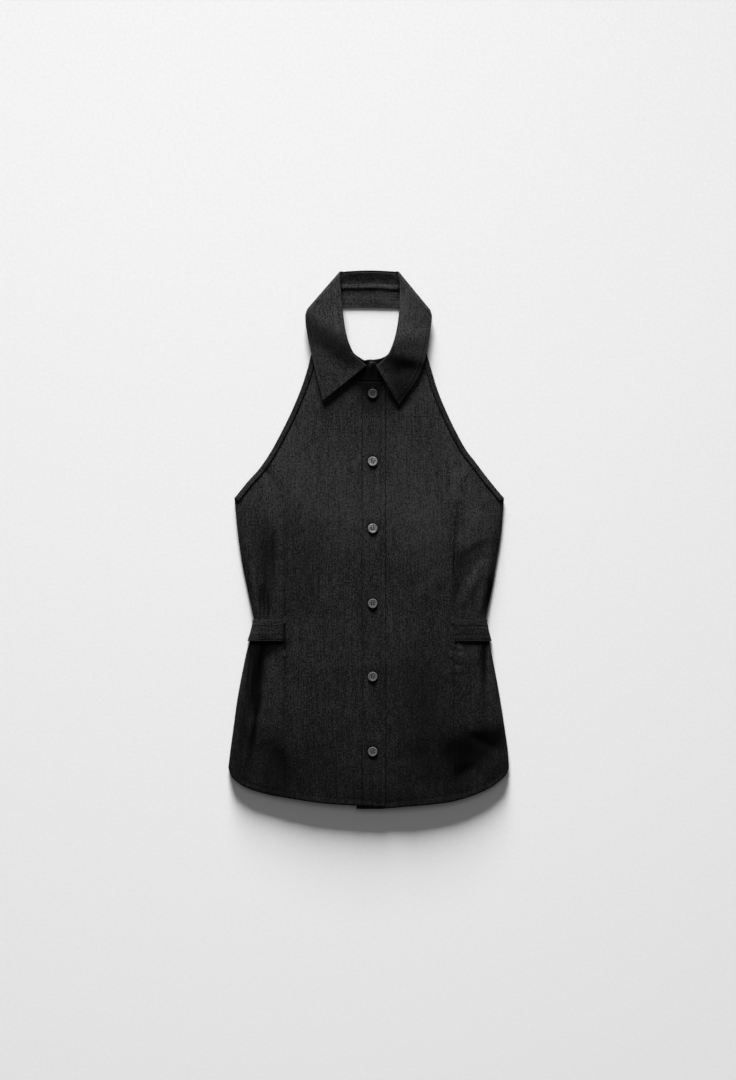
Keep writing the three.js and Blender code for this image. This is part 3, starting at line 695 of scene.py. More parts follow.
def leaf_with_roll(u, share):
    """The leaf, and before its share of 0 the turn over the top of the stand."""
    if share >= 0:
        return leaf_surface(u, share)
    step = 0.004
    roll = leaf_surface(u, 0)
    out = (roll - leaf_surface(u, 0.04)).normalized()
    along = (leaf_surface(u + step, 0) - leaf_surface(u - step, 0)).normalized()
    up = along.cross(-out).normalized()
    angle = math.pi * 0.95 * (-share / ROLL_SHARE)
    return roll + up * ROLL_RADIUS * (math.cos(angle) - 1) + out * ROLL_RADIUS * math.sin(angle)


# Finishes
class Value:
    """A socket in shader maths. An expression on values adds its Math nodes."""

    def __init__(self, finish, socket):
        self.finish = finish
        self.socket = socket

    def maths(self, operation, *others):
        inputs = dict(enumerate((self, *others)))
        return self.finish.add("ShaderNodeMath", {"operation": operation}, inputs)

    def __add__(self, other):
        return self.maths("ADD", other)

    def __mul__(self, other):
        return self.maths("MULTIPLY", other)

    def __sub__(self, other):
        return self.maths("SUBTRACT", other)

    def __rsub__(self, other):
        return self * -1 + other

    __radd__ = __add__

    def sine(self):
        return self.maths("SINE")

    def clamped(self):
        return self.finish.add("ShaderNodeClamp", {}, {"Value": self})


class Finish:
    """A node material."""

    def __init__(self, name):
        self.material = bpy.data.materials.new(name)
        self.material.use_nodes = True
        self.tree = self.material.node_tree
        self.tree.nodes.clear()

    def add(self, kind, settings, inputs, output=0):
        """Adds a node from its type, its settings and the values or links of its sockets."""
        node = self.tree.nodes.new(kind)
        for name, value in settings.items():
            setattr(node, name, value)
        for name, value in inputs.items():
            if isinstance(value, Value):
                self.tree.links.new(value.socket, node.inputs[name])
            else:
                node.inputs[name].default_value = value
        return Value(self, node.outputs[output])

    def place(self):
        """The place in the scene, in metres."""
        return self.add("ShaderNodeTexCoord", {}, {}, "Object")

    def part(self, vector, axis):
        return self.add("ShaderNodeSeparateXYZ", {}, {"Vector": vector}, axis)

    def attribute(self, name):
        return self.add("ShaderNodeAttribute", {"attribute_name": name}, {}, "Fac")

    def mix(self, share, a, b):
        return self.add("ShaderNodeMix", {"data_type": "RGBA"}, {0: share, 6: a, 7: b}, 2)

    def range(self, value, low, high, kind="SMOOTHSTEP"):
        return self.add(
            "ShaderNodeMapRange", {"interpolation_type": kind},
            {"Value": value, "From Min": low, "From Max": high})

    def noise(self, place, scale, detail):
        return self.add("ShaderNodeTexNoise", {}, {
            "Vector": place, "Scale": scale, "Detail": detail}, "Fac")

    def bump(self, height, distance, strength):
        return self.add("ShaderNodeBump", {}, {
            "Height": height, "Distance": distance * MM, "Strength": strength}, "Normal")

    def finish(self, inputs):
        shader = self.add("ShaderNodeBsdfPrincipled", {}, inputs)
        end = self.tree.nodes.new("ShaderNodeOutputMaterial")
        self.tree.links.new(shader.socket, end.inputs["Surface"])
        return self.material


def grey(level, tint=(0.0, 0.0, 0.0)):
    return (level + tint[0], level + tint[1], level + tint[2], 1)


def linen(name, dark, light):
    """Plain-woven linen with slubs both ways, in millimetres of the piece's own cloth.

    The attributes of its mesh say where an edge gets a painted highlight, where a seam draws it up
    with a little painted shade, and its painted shade, which below 0 is a painted highlight."""
    f = Finish(name)
    uv = f.add("ShaderNodeUVMap", {"uv_map": "cloth"}, {})

    def slubs(across, along, seed, detail=2.0):
        place = f.add("ShaderNodeMapping", {}, {
            "Vector": uv,
            "Location": (seed, seed * 0.37, 0),
            "Scale": (1 / (across * MM), 1 / (along * MM), 1),
        })
        return f.add("ShaderNodeTexNoise", {"noise_dimensions": "2D"}, {
            "Vector": place, "Scale": 1.0, "Detail": detail, "Roughness": 0.6}, "Fac") - 0.5

    threads = math.pi / (0.62 * MM)
    weave = (f.part(uv, "X") * threads).sine() * (f.part(uv, "Y") * threads).sine()
    warp = slubs(0.9, 11, 1.0)
    weft = slubs(8, 0.8, 5.0)
    heather = slubs(1.5, 2.4, 9.0, 3.0)
    streaks = slubs(2.6, 70, 17.0)
    mottle = slubs(10, 18, 13.0)
    broad = slubs(70, 120, 3.0)
    edge, seam, shade_paint = (f.attribute(what) for what in ("edge", "seam", "painted_shade"))
    # Painted light falloff: the cloth is paler towards the neck and darker towards the hem.
    lit_towards_neck = f.range(f.part(f.place(), "Y"), -0.34, 0.26, "LINEAR")
    # A painted shade attribute below 0 gives a painted highlight.
    painted_highlight = (0 - shade_paint).clamped()
    tone = 0.175 + lit_towards_neck * 0.33 + warp * 1.5 + weft + heather * 2.8 + streaks * 0.7
    tone = tone + mottle * 0.4 + broad * 0.4
    # Painted highlight on the chosen edges and where the painted shade attribute is below 0; a
    # little painted shade near seams.
    tone = (tone + weave * 0.07 + edge * 0.8 + painted_highlight * 0.6 - seam * 0.05).clamped()
    height = weave * 0.25 + warp * 0.9 + weft * 0.5 + heather * 0.5
    ripples = slubs(3.2, 3.2, 21.0) * seam
    return f.finish({
        # Painted shade: the colour goes towards black as the painted shade attribute rises.
        "Base Color": f.mix(shade_paint.clamped(), f.mix(tone, dark, light), grey(0.0006)),
        "Roughness": 0.9 - tone * 0.15,
        "Normal": f.bump(height * 0.10 + ripples * 0.5, 1.0, 0.7),
        "Sheen Weight": 0.012,
        "Sheen Roughness": 0.45,
        "Sheen Tint": (0.5, 0.5, 0.53, 1),
        "Specular IOR Level": 0.05,
    })


def thread_finish(name, dark, light, shine):
    f = Finish(name)
    twist = f.noise(f.place(), 3000.0, 1.0)
    return f.finish({
        "Base Color": f.mix(twist, grey(dark), grey(light, (0, 0, 0.001))),
        "Roughness": 0.65 + twist * 0.2,
        "Normal": f.bump(twist, 0.1, 0.6),
        "Specular IOR Level": shine,
    })


def button_finish():
    """Dark horn-like resin, cloudy inside and polished, with painted shade on the lower buttons
    and a painted shadow on the top button.
    """
    f = Finish("button")
    place = f.place()
    clouds, specks = f.noise(place, 260.0, 3.0), f.noise(place, 1900.0, 2.0)
    high = f.part(place, "Y")
    resin = f.mix(f.range(clouds, 0.35, 0.65), grey(0.095), grey(0.18, (0.003, 0, 0)))
    # Painted shade: the buttons below the middle of the front are darker.
    resin = f.mix(f.range(high, -0.08, 0.01), grey(0.085), resin)
    return f.finish({
        # Painted shadow of the collar: the top button is near black.
        "Base Color": f.mix(f.range(high, 0.15, 0.19) * 0.92, resin, grey(0.01)),
        "Roughness": 0.22 + f.range(specks, 0.45, 0.75) * 0.16,
        "Normal": f.bump(specks, 0.05, 0.25),
        "Coat Weight": 0.5,
        "Coat Roughness": 0.12,
        "IOR": 1.52,
    })


LINEN = linen("linen", grey(0.0039, (0.0002, 0, 0.0002)), grey(0.0318, (0.0004, 0, 0.0003)))
LINEN_BAND = linen(
    "linen_band", grey(0.0029, (0.0002, 0, 0.0002)), grey(0.0205, (0.0004, 0, 0.0003)))
THREAD = thread_finish("thread", 0.020, 0.054, 0.12)
THREAD_TACK = thread_finish("thread_tack", 0.012, 0.034, 0.06)
THREAD_DARK = thread_finish("thread_dark", 0.004, 0.012, 0.05)
RESIN = button_finish()


# Making cloth pieces
def steps_between(length, cell=CELL, turn=TURN, first=True):
    """Shares along a length in even steps, with a narrow one at each free edge."""
    count = max(2, round(length / cell))
    shares = [k / count for k in range(count + 1)]
    if first:
        shares.insert(1, turn / length)
    shares.insert(-1, 1 - turn / length)
    return shares


def lengths_along(line):
    """How far along a line each of its points is."""
    return [0.0, *itertools.accumulate((b - a).length for a, b in zip(line, line[1:]))]


def cloth(name, us, vs, point, finish=LINEN, thickness=SHELL, upright=False,
          turned=False, seam=None, painted_shade=None, drop=(1, 1, 1, 1), highlit_edges=(0, 0, 0, 0)):
    """A shell of cloth on a surface of shares u and v, in the place of the solid of its name.

    upright pieces keep their thread lines on X and Y, and turned ones run them along u.
    seam gives how close a point is to sewing, and the next argument the painted shade of a point,
    with a painted highlight below 0. Of the edges left, right, foot and top, drop says how far
    each is turned down, and the last argument which of them get a painted highlight."""
    bm = bmesh.new()
    columns, rows = len(us) - 1, len(vs) - 1
    bmesh.ops.create_grid(bm, x_segments=columns, y_segments=rows, size=0.5)
    uv_layer = bm.loops.layers.uv.new("cloth")
    edge_highlight_layer, seam_layer, shade_layer = (
        bm.verts.layers.float.new(what) for what in ("edge", "seam", "painted_shade"))
    points = {}
    for vert in bm.verts:
        i = round((vert.co.x + 0.5) * columns)
        j = round((vert.co.y + 0.5) * rows)
        points[i, j] = vert
        vert.co = point(us[i], vs[j])
    if len(points) != (columns + 1) * (rows + 1):
        raise RuntimeError(f"{name}: the grid has other cells than asked")
    lengths_u = lengths_along([points[i, rows // 2].co for i in range(columns + 1)])
    lengths_v = lengths_along([points[columns // 2, j].co for j in range(rows + 1)])
    flat = {}
    for (i, j), vert in points.items():
        place = vert.co.xy if upright else (lengths_u[i], lengths_v[j])
        flat[vert] = [value * MM for value in (reversed(place) if turned else place)]
    for face in bm.faces:
        for loop in face.loops:
            loop[uv_layer].uv = flat[loop.vert]
    bm.normal_update()
    downs = []
    for (i, j), vert in points.items():
        sides = (i == 0, i == columns, j == 0, j == rows)
        near = (i <= 1, i >= columns - 1, j <= 1, j >= rows - 1)
        down = max(a * b for a, b in zip(sides, drop))
        if down:
            downs.append((vert, vert.normal * down * EDGE_DROP))
        # Painted highlight on the outer rows of the chosen edges.
        vert[edge_highlight_layer] = 1.0 if any(a and b for a, b in zip(near, highlit_edges)) else 0.0
        vert[seam_layer] = seam(vert.co) if seam else 0.0
        # Painted shade of the point, and below 0 a painted highlight.
        vert[shade_layer] = painted_shade(vert.co, vs[j]) if painted_shade else 0.0
    for vert, down in downs:
        vert.co -= down
    piece = finished(name, bm, finish)
    shell = piece.modifiers.new("thickness", "SOLIDIFY")
    shell.thickness = thickness * MM
    shell.offset = -1
    shell.use_rim = True
    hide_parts(name)
    return piece


def finished(name, bm, finish):
    """Puts a shape into the scene with its finish, on the garment."""
    for face in bm.faces:
        face.smooth = True
    bmesh.ops.scale(bm, vec=(MM, MM, MM), verts=bm.verts)
    mesh = mesh_of(name, bm)
    mesh.materials.append(finish)
    piece = placed(name, mesh)
    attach(piece, "root")
    return piece


def front_sewing(co):
    """How close a point of the front is to its stitch rows, from 0 to 1."""
    near = 0.0
    for side in INWARDS:
        if co.y < PRINCESS_TOP:
            near = max(near, hump((abs(co.x - princess_x[side](co.y)) - SEAM_ROW) / 3.0))
    return max(near, hump((co.y - hem_y(co.x) - TOPSTITCH) / 3.6))


def front_painted_shade(co, share):
    """Painted shade on the front: in its folds, along its seams and towards the hem."""
    deep = front_shade_rows(co.x, co.y) + 0.38 * smoothstep(-co.y, 225, 335)
    for side, low, high in (("left", -165, -85), ("right", -40, 40)):
        if co.y < PRINCESS_TOP:
            shown = smoothstep(co.y, low - 20, low) * (1 - smoothstep(co.y, high, high + 20))
            deep += (0.15 + 0.55 * shown) * hump((co.x - princess_x[side](co.y)) / 0.9)
    return deep


# Front panels
def neckline(side, end_x):
    """The neckline under the stand's foot, from the armhole to the placket."""
    def seam(at):
        return Vector(station(side, "seam", at))

    shoulder = end = 2.3
    while end < 9 and abs(station(side, "seam", end)[0] - end_x) > 0.4:
        end += 0.01

    def point(t):
        at = lerp(shoulder, end, t)
        along = (seam(at + 0.1) - seam(at - 0.1)).normalized()
        below = Vector((along.y, -along.x)) * INWARDS[side] * -NECK_TUCK
        return Vector((seam(at).x + below.x * (1 - t), seam(at).y + below.y))

    return point


# The share of a front panel's height at which its princess seam ends
SPLIT = 22 / 32


def panel_patch(side, inner, outer, foot, top, height):
    """The patch of a panel whose foot and top run from its inner edge to its outer one."""
    if side == "right":
        return patch(inner, outer, foot, top, height)
    return patch(outer, inner, lambda t: foot(1 - t), lambda t: top(1 - t), height)


def centre_panel(side, inner_x, height):
    neck = neckline(side, inner_x)
    shoulder = neck(0)
    split_y = 60

    def outer(v):
        if v <= SPLIT:
            return princess(side, v / SPLIT, SEAM * INWARDS[side])
        t = (v - SPLIT) / (1 - SPLIT)
        return armhole(side, PRINCESS_TOP, shoulder.y, t).lerp(shoulder, smoothstep(t, 0.6, 1))

    def inner(v):
        if v <= SPLIT:
            return Vector((inner_x, lerp(hem_y(inner_x), split_y, v / SPLIT)))
        return Vector((inner_x, lerp(split_y, neck(1).y, (v - SPLIT) / (1 - SPLIT))))

    foot_x = outer(0).x

    def foot(t):
        x = lerp(inner_x, foot_x, t)
        return Vector((x, hem_y(x)))

    shape = panel_patch(side, inner, outer, foot, lambda t: neck(1 - t), height)

    def tucked(u, v):
        p = shape(u, v)
        p.z -= NECK_SINK * smoothstep(v, 1 - 7 / FRONT_LENGTH, 1)
        return p

    return cloth(
        "front_centre_" + side, steps_between(102), steps_between(FRONT_LENGTH), tucked,
        upright=True, seam=front_sewing, painted_shade=front_painted_shade, drop=(0.2, 0.2, 1, 1))


def side_panel(side):
    def seam(v):
        return princess(side, v, -SEAM * INWARDS[side])

    def edge(v):
        y = lerp(HEM[0]["y"], UNDERARM, v)
        return Vector((side_x[side](y), y))

    def top(t):
        p = armhole(side, PRINCESS_TOP, UNDERARM, t)
        return Vector((p.x - SEAM * INWARDS[side] * (1 - t), p.y))

    def foot(t):
        x = lerp(seam(0).x, edge(0).x, t)
        return Vector((x, hem_y(x)))

    def spread(u):
        """Closer steps towards the side."""
        return 1 - (1 - u) ** 1.5 if side == "right" else u ** 1.5

    shape = panel_patch(side, seam, edge, foot, top, front_height)
    return cloth(
        "front_side_" + side, steps_between(64, 2.0), steps_between(400),
        lambda u, v: shape(spread(u), v), upright=True, seam=front_sewing, painted_shade=front_painted_shade,
        drop=(0.2, 1, 1, 1) if side == "right" else (1, 0.2, 1, 1))


centre_left = centre_panel("left", PLACKET_SEAM - SEAM, front_height)
centre_right = centre_panel("right", STAND_SEAM, under_height)
side_left = side_panel("left")
side_right = side_panel("right")


def placket_relief(x, y):
    """The placket's stitch rows draw it up along both edges."""
    from_seam, from_edge = x - PLACKET_SEAM, PLACKET_EDGE - x
    relief = -0.16 * hump((from_edge - TOPSTITCH) / 0.8) + pucker(from_edge - TOPSTITCH, y, 3.0)
    relief += pucker(from_seam - PLACKET_ROW, y, 6.0)
    for button_y in BUTTON_HEIGHTS:
        relief -= 0.6 * hump(math.hypot(x - BUTTON_X, (y - button_y) * 0.8) / 8)
    return relief


def placket_point(u, v):
    x = lerp(PLACKET_SEAM + SEAM, PLACKET_EDGE, u)
    y = lerp(PLACKET_FOOT - 1.2 * u, PLACKET_TOP + NECK_TUCK, v)
    tuck = NECK_SINK * smoothstep(y, PLACKET_TOP - 1, PLACKET_TOP + NECK_TUCK)
    return Vector((x, y, front_height(x, y) + placket_relief(x, y) - tuck))


def stand_strip_point(u, v):
    x = lerp(STAND_EDGE, STAND_SEAM - 2 * SEAM, u)
    y = lerp(STAND_FOOT, PLACKET_TOP + 2 * NECK_TUCK, v)
    return Vector((x, y, under_height(x, y) - 0.5 - smoothstep(y, PLACKET_TOP - 2, PLACKET_TOP)))


def placket_painted_shade(co, share):
    """Painted shade along the seam and a painted shadow in a ring round each button."""
    deep = front_painted_shade(co, share) + 0.5 * hump((co.x - PLACKET_SEAM) / 0.9)
    near = min(math.hypot(co.x - BUTTON_X, co.y - y) for y in BUTTON_HEIGHTS)
    return deep + 0.9 * hump((near - 7.0) / 1.5)


placket = cloth(
    "placket", steps_between(31.5, 1.6), steps_between(565), placket_point, upright=True,
    seam=lambda co: max(
        hump((PLACKET_EDGE - co.x - TOPSTITCH) / 2.4),
        hump((co.x - PLACKET_SEAM - PLACKET_ROW) / 2.4)),
    painted_shade=placket_painted_shade)
button_stand = cloth(
    "button_stand", steps_between(36, 3), steps_between(568, 3), stand_strip_point,
    upright=True, thickness=0.8)


def band_point(side):
    def point(u, v):
        share = u if side == "left" else 1 - u
        here = armhole(side, UNDERARM, BAND_TOP, v)
        near = (armhole(side, UNDERARM, BAND_TOP, min(v + 0.01, 1))
                - armhole(side, UNDERARM, BAND_TOP, max(v - 0.01, 0))).normalized()
        inside = Vector((near.y, -near.x)) * INWARDS[side]
        p = here + inside * (BAND_WIDTH * share + GAP)
        crown = 0.25 * math.sin(math.pi * share) + 1.3 * pucker((share - 0.2) * 7, v * 240, 2.0)
        return over_front(p.x, p.y, BAND_GAP + BAND_CLOTH + crown)
    return point


bands = {
    side: cloth(
        "armhole_band_" + side, steps_between(7, 1.2), steps_between(245, 1.8), band_point(side),
        LINEN_BAND, 0.8, seam=lambda co: 0.6)
    for side in INWARDS
}

# Belt: the tabs that show in front and run round the sides, and the stretch under the back.
# A tab's steps go over the front to TAB_OVER, down to TAB_DROP, round to TAB_ROUND and on
# to 3 at its join.
TAB_OVER, TAB_DROP, TAB_ROUND = 1.0, 1.3, 2.0
TAB_ROWS = (-107.9, -115.9, -127.1, -133.6)
LIFT = 0.12


def tab_point(side):
    sign = -INWARDS[side]
    turn = 1.9

    def over(t, y, flare):
        share = 1 - (1 - t / TAB_OVER) ** 1.7
        x = lerp(sign * BELT_START, outline_x(side, y), share)
        crown = 0.25 * math.sin(math.pi * clamp((y - BELT_FOOT) / BELT_WIDTH))
        crown += 0.14 * noise.noise(Vector((x / 5, y / 3, 1)))
        for row in TAB_ROWS:
            crown -= 0.3 * hump((y - row) / 0.9)
        p = over_front(x, y, LAYER + 0.25 + crown)
        p.x += sign * flare * share ** 4
        return p

    def bend(angle, y, centre_x):
        return Vector((
            centre_x + sign * turn * math.cos(angle), y, turn - (turn - LIFT) * math.sin(angle)))

    def point(u, v):
        t = (u if side == "right" else 1 - u) * 3
        y = lerp(BELT_FOOT, BELT_TOP, v)
        flare = BELT_EASE + BELT_FLARE * (BELT_TOP - y) / BELT_WIDTH
        centre_x = outline_x(side, y) + sign * (flare + LAYER - turn)
        if t <= TAB_OVER:
            return over(t, y, flare)
        if t <= TAB_DROP:
            share = (t - TAB_OVER) / (TAB_DROP - TAB_OVER)
            p = over(TAB_OVER, y, flare).lerp(bend(0, y, centre_x), share)
            p.x += sign * 0.5 * math.sin(math.pi * share) * (1 - share)
            return p
        if t <= TAB_ROUND:
            return bend((t - TAB_DROP) / (TAB_ROUND - TAB_DROP) * math.pi / 2, y, centre_x)
        return bend(math.pi / 2, y, centre_x).lerp(
            Vector((sign * BELT_JOIN, y, LIFT)), t - TAB_ROUND)

    return point


TAB_PARTS = (
    (0, TAB_OVER, 22), (TAB_OVER, TAB_DROP, 5), (TAB_DROP, TAB_ROUND, 6), (TAB_ROUND, 3, 14))
TAB_STEPS = [0, 0.012, *(lerp(a, b, k / n) for a, b, n in TAB_PARTS for k in range(1, n + 1))]


def tab_painted_shade(co, share):
    """Painted shade on the tab over the front, most along its stitch rows, and a painted highlight
    along its foot edge.
    """
    if co.z < 3:
        return 0.0
    deep = 0.25 if co.x > 0 else 0.08
    deep += sum(0.6 * hump((co.y - row) / 0.8) for row in TAB_ROWS)
    return deep - 0.7 * hump(share * BELT_WIDTH / 0.9)


def tab(side):
    shares = [t / 3 for t in TAB_STEPS]
    if side == "left":
        shares = [1 - share for share in reversed(shares)]
    return cloth(
        "belt_tab_" + side, shares, steps_between(BELT_WIDTH, 1.3), tab_point(side),
        turned=True, thickness=0.9,
        seam=lambda co: max(hump((co.y - row) / 1.6) for row in TAB_ROWS), painted_shade=tab_painted_shade,
        drop=(side == "right", side == "left", 1, 1), highlit_edges=(0, 0, 1, 0))


tabs = {side: tab(side) for side in INWARDS}
belt_back = cloth(
    "belt_back", steps_between(2 * (BELT_JOIN - GAP), 4), steps_between(BELT_WIDTH, 2),
    lambda u, v: Vector((
        lerp(-1, 1, u) * (BELT_JOIN - GAP), lerp(BELT_FOOT, BELT_TOP, v), CLOTH - 0.1)),
    turned=True, thickness=CLOTH - 0.1 - LIFT, drop=(0.3, 0.3, 0.3, 0.3))


# Back panel
def back_level(y):
    low, high = BELT_FOOT - BELT_CLEAR, BELT_TOP + BELT_CLEAR
    lifted = smoothstep(y, low - BELT_RAMP, low) * (1 - smoothstep(y, high, high + BELT_RAMP))
    return LAYER * lifted


def back_point(u, v):
    corner = HEM[0]["y"]
    hem_part = 0.13
    y = lerp(corner, BACK_TOP, (v - hem_part) / (1 - hem_part)) if v > hem_part else corner
    left, right = (outline_x(side, y) + BACK_INSET * INWARDS[side] for side in ("left", "right"))
    x = lerp(left, right, u)
    if v <= hem_part:
        foot = min(hem_y(x) + BACK_HEM_LIFT, corner - 1)
        y = lerp(foot, corner, v / hem_part)
    y -= BACK_DIP * 4 * u * (1 - u) * smoothstep(v, 0.8, 1)
    return Vector((x, y, CLOTH - 0.05 + back_level(y)))


back = cloth(
    "back", steps_between(370, 3.6), steps_between(400, 3.6), back_point, upright=True,
    thickness=CLOTH - 0.05 - LIFT, drop=(0.3, 0.3, 0.3, 0.3),
    seam=lambda co: max(
        hump((co.y - hem_y(co.x) - BACK_HEM_LIFT - TOPSTITCH) / 3.6),
        hump((co.y - BACK_TOP + 12) / 3)))

# Collar
def stand_painted_shade(co, share):
    """Painted shadow on the stand in front, under and between the leaves' ends, with a painted
    highlight at its tip; behind the neck, painted shade along its top and at the neck corners,
    and a painted highlight towards its foot.
    """
    if co.y > 320:
        return 0.2 - 0.55 * smoothstep(share, 0.6, 0.8) + 0.7 * neck_corner_shade(co)
    painted_highlight_tip = hump(math.hypot(co.x - 3, co.y - 236) / 4)
    return 0.97 * (1 - smoothstep(co.y, 238, 252)) - 1.8 * painted_highlight_tip


# Painted shade at the corners where the leaf turns round the neck.
def neck_corner_shade(co):
    return hump((co.x + 38) / 4) + hump((co.x - 40) / 4)


# Painted shade on the leaf: behind the neck a dark line at its hem row and at the neck corners,
# over a slight painted highlight; in front its shade rows and a dark line along the topstitching.
def leaf_painted_shade(co, share):
    from_edge = (1 - share) * LEAF_DEPTH
    if co.y > 320 and co.z < 3:
        return 0.6 * hump((from_edge - LEAF_HEM_ROW) / 1.2) + 0.6 * neck_corner_shade(co) - 0.25
    return leaf_shade_rows(co.x, co.y) + 0.4 * hump((from_edge - TOPSTITCH) / 1.1)


collar_stand = cloth(
    "collar_stand", [k / (len(STAND_STATIONS) - 1) for k in range(len(STAND_STATIONS))],
    steps_between(30, 1.6, 0.4), stand_surface, turned=True,
    seam=lambda co: 0.35, painted_shade=stand_painted_shade)
leaf_us = [k / (len(LEAF_STATIONS) - 1) for k in range(len(LEAF_STATIONS))]
leaf_us.insert(1, leaf_us[1] * 0.2)
leaf_us.insert(-1, 1 - (1 - leaf_us[-2]) * 0.2)
collar_leaf = cloth(
    "collar_leaf", leaf_us,
    [-ROLL_SHARE * (1 - k / 7) for k in range(7)] + steps_between(60, 2.0, first=False),
    leaf_with_roll, turned=True, thickness=0.85, seam=lambda co: 0.25, painted_shade=leaf_painted_shade,
    drop=(1, 1, 0, 1), highlit_edges=(1, 1, 0, 1))


# Sewing
STITCH, STITCH_GAP, THREAD_RADIUS, THICK_THREAD = 2.5, 0.6, 0.2, 0.3


def spindle():
    """The shape of every stitch, one long and one wide."""
    bm = bmesh.new()
    bmesh.ops.create_uvsphere(bm, u_segments=6, v_segments=4, radius=1)
    bmesh.ops.rotate(
        bm, cent=(0, 0, 0), matrix=Matrix.Rotation(math.pi / 2, 3, "Y"), verts=bm.verts)
    return mesh_of("spindle", bm)


SPINDLE = spindle()


def stitch(bm, start, end, up, radius=THREAD_RADIUS):
    """One stitch: a small spindle from start to end, half sunk into the cloth."""
    along = (end - start).normalized()
    aside = up.cross(along).normalized()
    rise = along.cross(aside)
    middle = (start + end) / 2 + rise * radius * 0.45
    middle.z = max(middle.z, radius)
    turn = Matrix((along, aside, rise)).transposed().to_4x4()
    size = Matrix.Diagonal(((end - start).length / 2, radius, radius, 1))
    shape = SPINDLE.copy()
    shape.transform(Matrix.Translation(middle) @ turn @ size)
    bm.from_mesh(shape)
    bpy.data.meshes.remove(shape)


def stitch_row(bm, path, surface, length, step):
    """Stitches along a path of a surface's two values. step is a small change of them."""
    count = max(40, round(length))
    start = before = surface(*path(0))
    begun, travelled = False, 0.0
    for k in range(1, count + 1):
        a, b = path(k / count)
        here = surface(a, b)
        travelled += (here - before).length
        before = here
        if not begun and travelled >= STITCH_GAP:
            begun, start, travelled = True, here, 0.0
        elif begun and travelled >= STITCH:
            da = surface(a + step[0], b) - here
            db = surface(a, b + step[1]) - here
            stitch(bm, start, here, da.cross(db).normalized())
            begun, travelled = False, 0.0


def sewn(name, rows, finish=THREAD_DARK):
    """All the stitch rows of one kind as one piece."""
    bm = bmesh.new()
    for row in rows:
        row(bm)
    return finished(name, bm, finish)


def front_row(x_of, y_of, surface=on_front):
    """A row on the front whose place is given by two functions of its share."""
    ends = [Vector((x_of(t / 20), y_of(t / 20))) for t in range(21)]
    length = sum((b - a).length for a, b in zip(ends, ends[1:]))
    return lambda bm: stitch_row(
        bm, lambda t: (x_of(t), y_of(t)), surface, length, (0.4, 0.4))


def princess_row(side, shift):
    def y_of(t):
        return lerp(hem_y(PRINCESS[0][side]) + 1.5, PRINCESS_TOP - 6, t)
    return front_row(lambda t: princess_x[side](y_of(t)) + shift, y_of)


def on_right_front(x, y):
    return Vector((x, y, under_height(x, y)))


def on_placket(x, y):
    return Vector((x, y, front_height(x, y) + placket_relief(x, y)))


sewn("seam_stitching", [
    princess_row(side, shift) for side in INWARDS for shift in (-SEAM_ROW, SEAM_ROW)])


def hem_row(x0, x1, surface):
    return front_row(
        lambda t: lerp(x0, x1, t), lambda t: hem_y(lerp(x0, x1, t)) + TOPSTITCH, surface)


sewn("hem_stitching", [
    hem_row(-181, PLACKET_SEAM - 1, on_front),
    hem_row(PLACKET_SEAM + 1, PLACKET_EDGE - 1, on_placket),
    hem_row(PLACKET_EDGE + 1.5, 181, on_right_front),
])
sewn("placket_stitching", [
    front_row(lambda t, x=x: x, lambda t: lerp(PLACKET_FOOT + 2, PLACKET_TOP - 3, t), on_placket)
    for x in (PLACKET_SEAM + PLACKET_ROW, PLACKET_EDGE - TOPSTITCH)
])


def band_row(side, share):
    surface = band_point(side)
    u = share if side == "left" else 1 - share
    return lambda bm: stitch_row(
        bm, lambda t: (u, lerp(0.01, 0.99, t)), surface, 250, (0.05, 0.002))


sewn("armhole_stitching", [band_row(side, share) for side in INWARDS for share in (0.16, 0.84)])


def tab_row(side, y):
    surface = tab_point(side)
    v = (y - BELT_FOOT) / BELT_WIDTH

    def path(t):
        u = lerp(0.008, 0.42, t)
        return (u if side == "right" else 1 - u), v

    return lambda bm: stitch_row(bm, path, surface, 60, (0.003, 0.01))


sewn("belt_stitching", [tab_row(side, y) for side in INWARDS for y in TAB_ROWS], finish=THREAD)


def leaf_u(side, at):
    """The leaf surface's u at a station of one side."""
    last = len(LEAF_STATIONS) - 1
    from_front = (LEAF_END - at) * LEAF_STEPS
    return (from_front if side == "left" else last - from_front) / last


def leaf_depth(u):
    return (leaf_surface(u, 0) - leaf_surface(u, 1)).length


def leaf_edge_row(bm):
    """Topstitching round the leaf, inside its front ends and its free edge."""
    for side in INWARDS:
        spacing = math.dist(*(station(side, "edge", LEAF_END - at)[:2] for at in (0.1, 1.1)))
        u_end = leaf_u(side, LEAF_END - TOPSTITCH / spacing)
        stop = 1 - TOPSTITCH / leaf_depth(u_end)
        stitch_row(bm, lambda t: (u_end, lerp(0.02, stop, t)), leaf_surface, 60, (0.002, 0.01))
    first, final = (leaf_u(side, LEAF_END - 0.33) for side in ("left", "right"))

    def path(t):
        u = lerp(first, final, t)
        return u, 1 - TOPSTITCH / leaf_depth(u)

    stitch_row(bm, path, leaf_surface, 560, (0.002, 0.01))


def stand_edge_row(bm):
    """Rows along the stand's top and foot, on the face that shows."""
    for share in (0.07, 0.93):
        stitch_row(
            bm, lambda t: (lerp(0.01, 0.99, t), share), stand_surface, 420, (0.002, 0.01))


sewn("collar_stitching", [leaf_edge_row], finish=THREAD)
sewn("stand_stitching", [stand_edge_row])


def under_point(surface):
    """The inner face of a shell, with u turned round so that its way out is still out."""
    def point(u, v):
        step = 0.003
        here = surface(1 - u, v)
        du = surface(1 - u + step, v) - surface(1 - u - step, v)
        dv = surface(1 - u, v + step) - surface(1 - u, v - step)
        return here - du.cross(dv).normalized() * SHELL
    return point


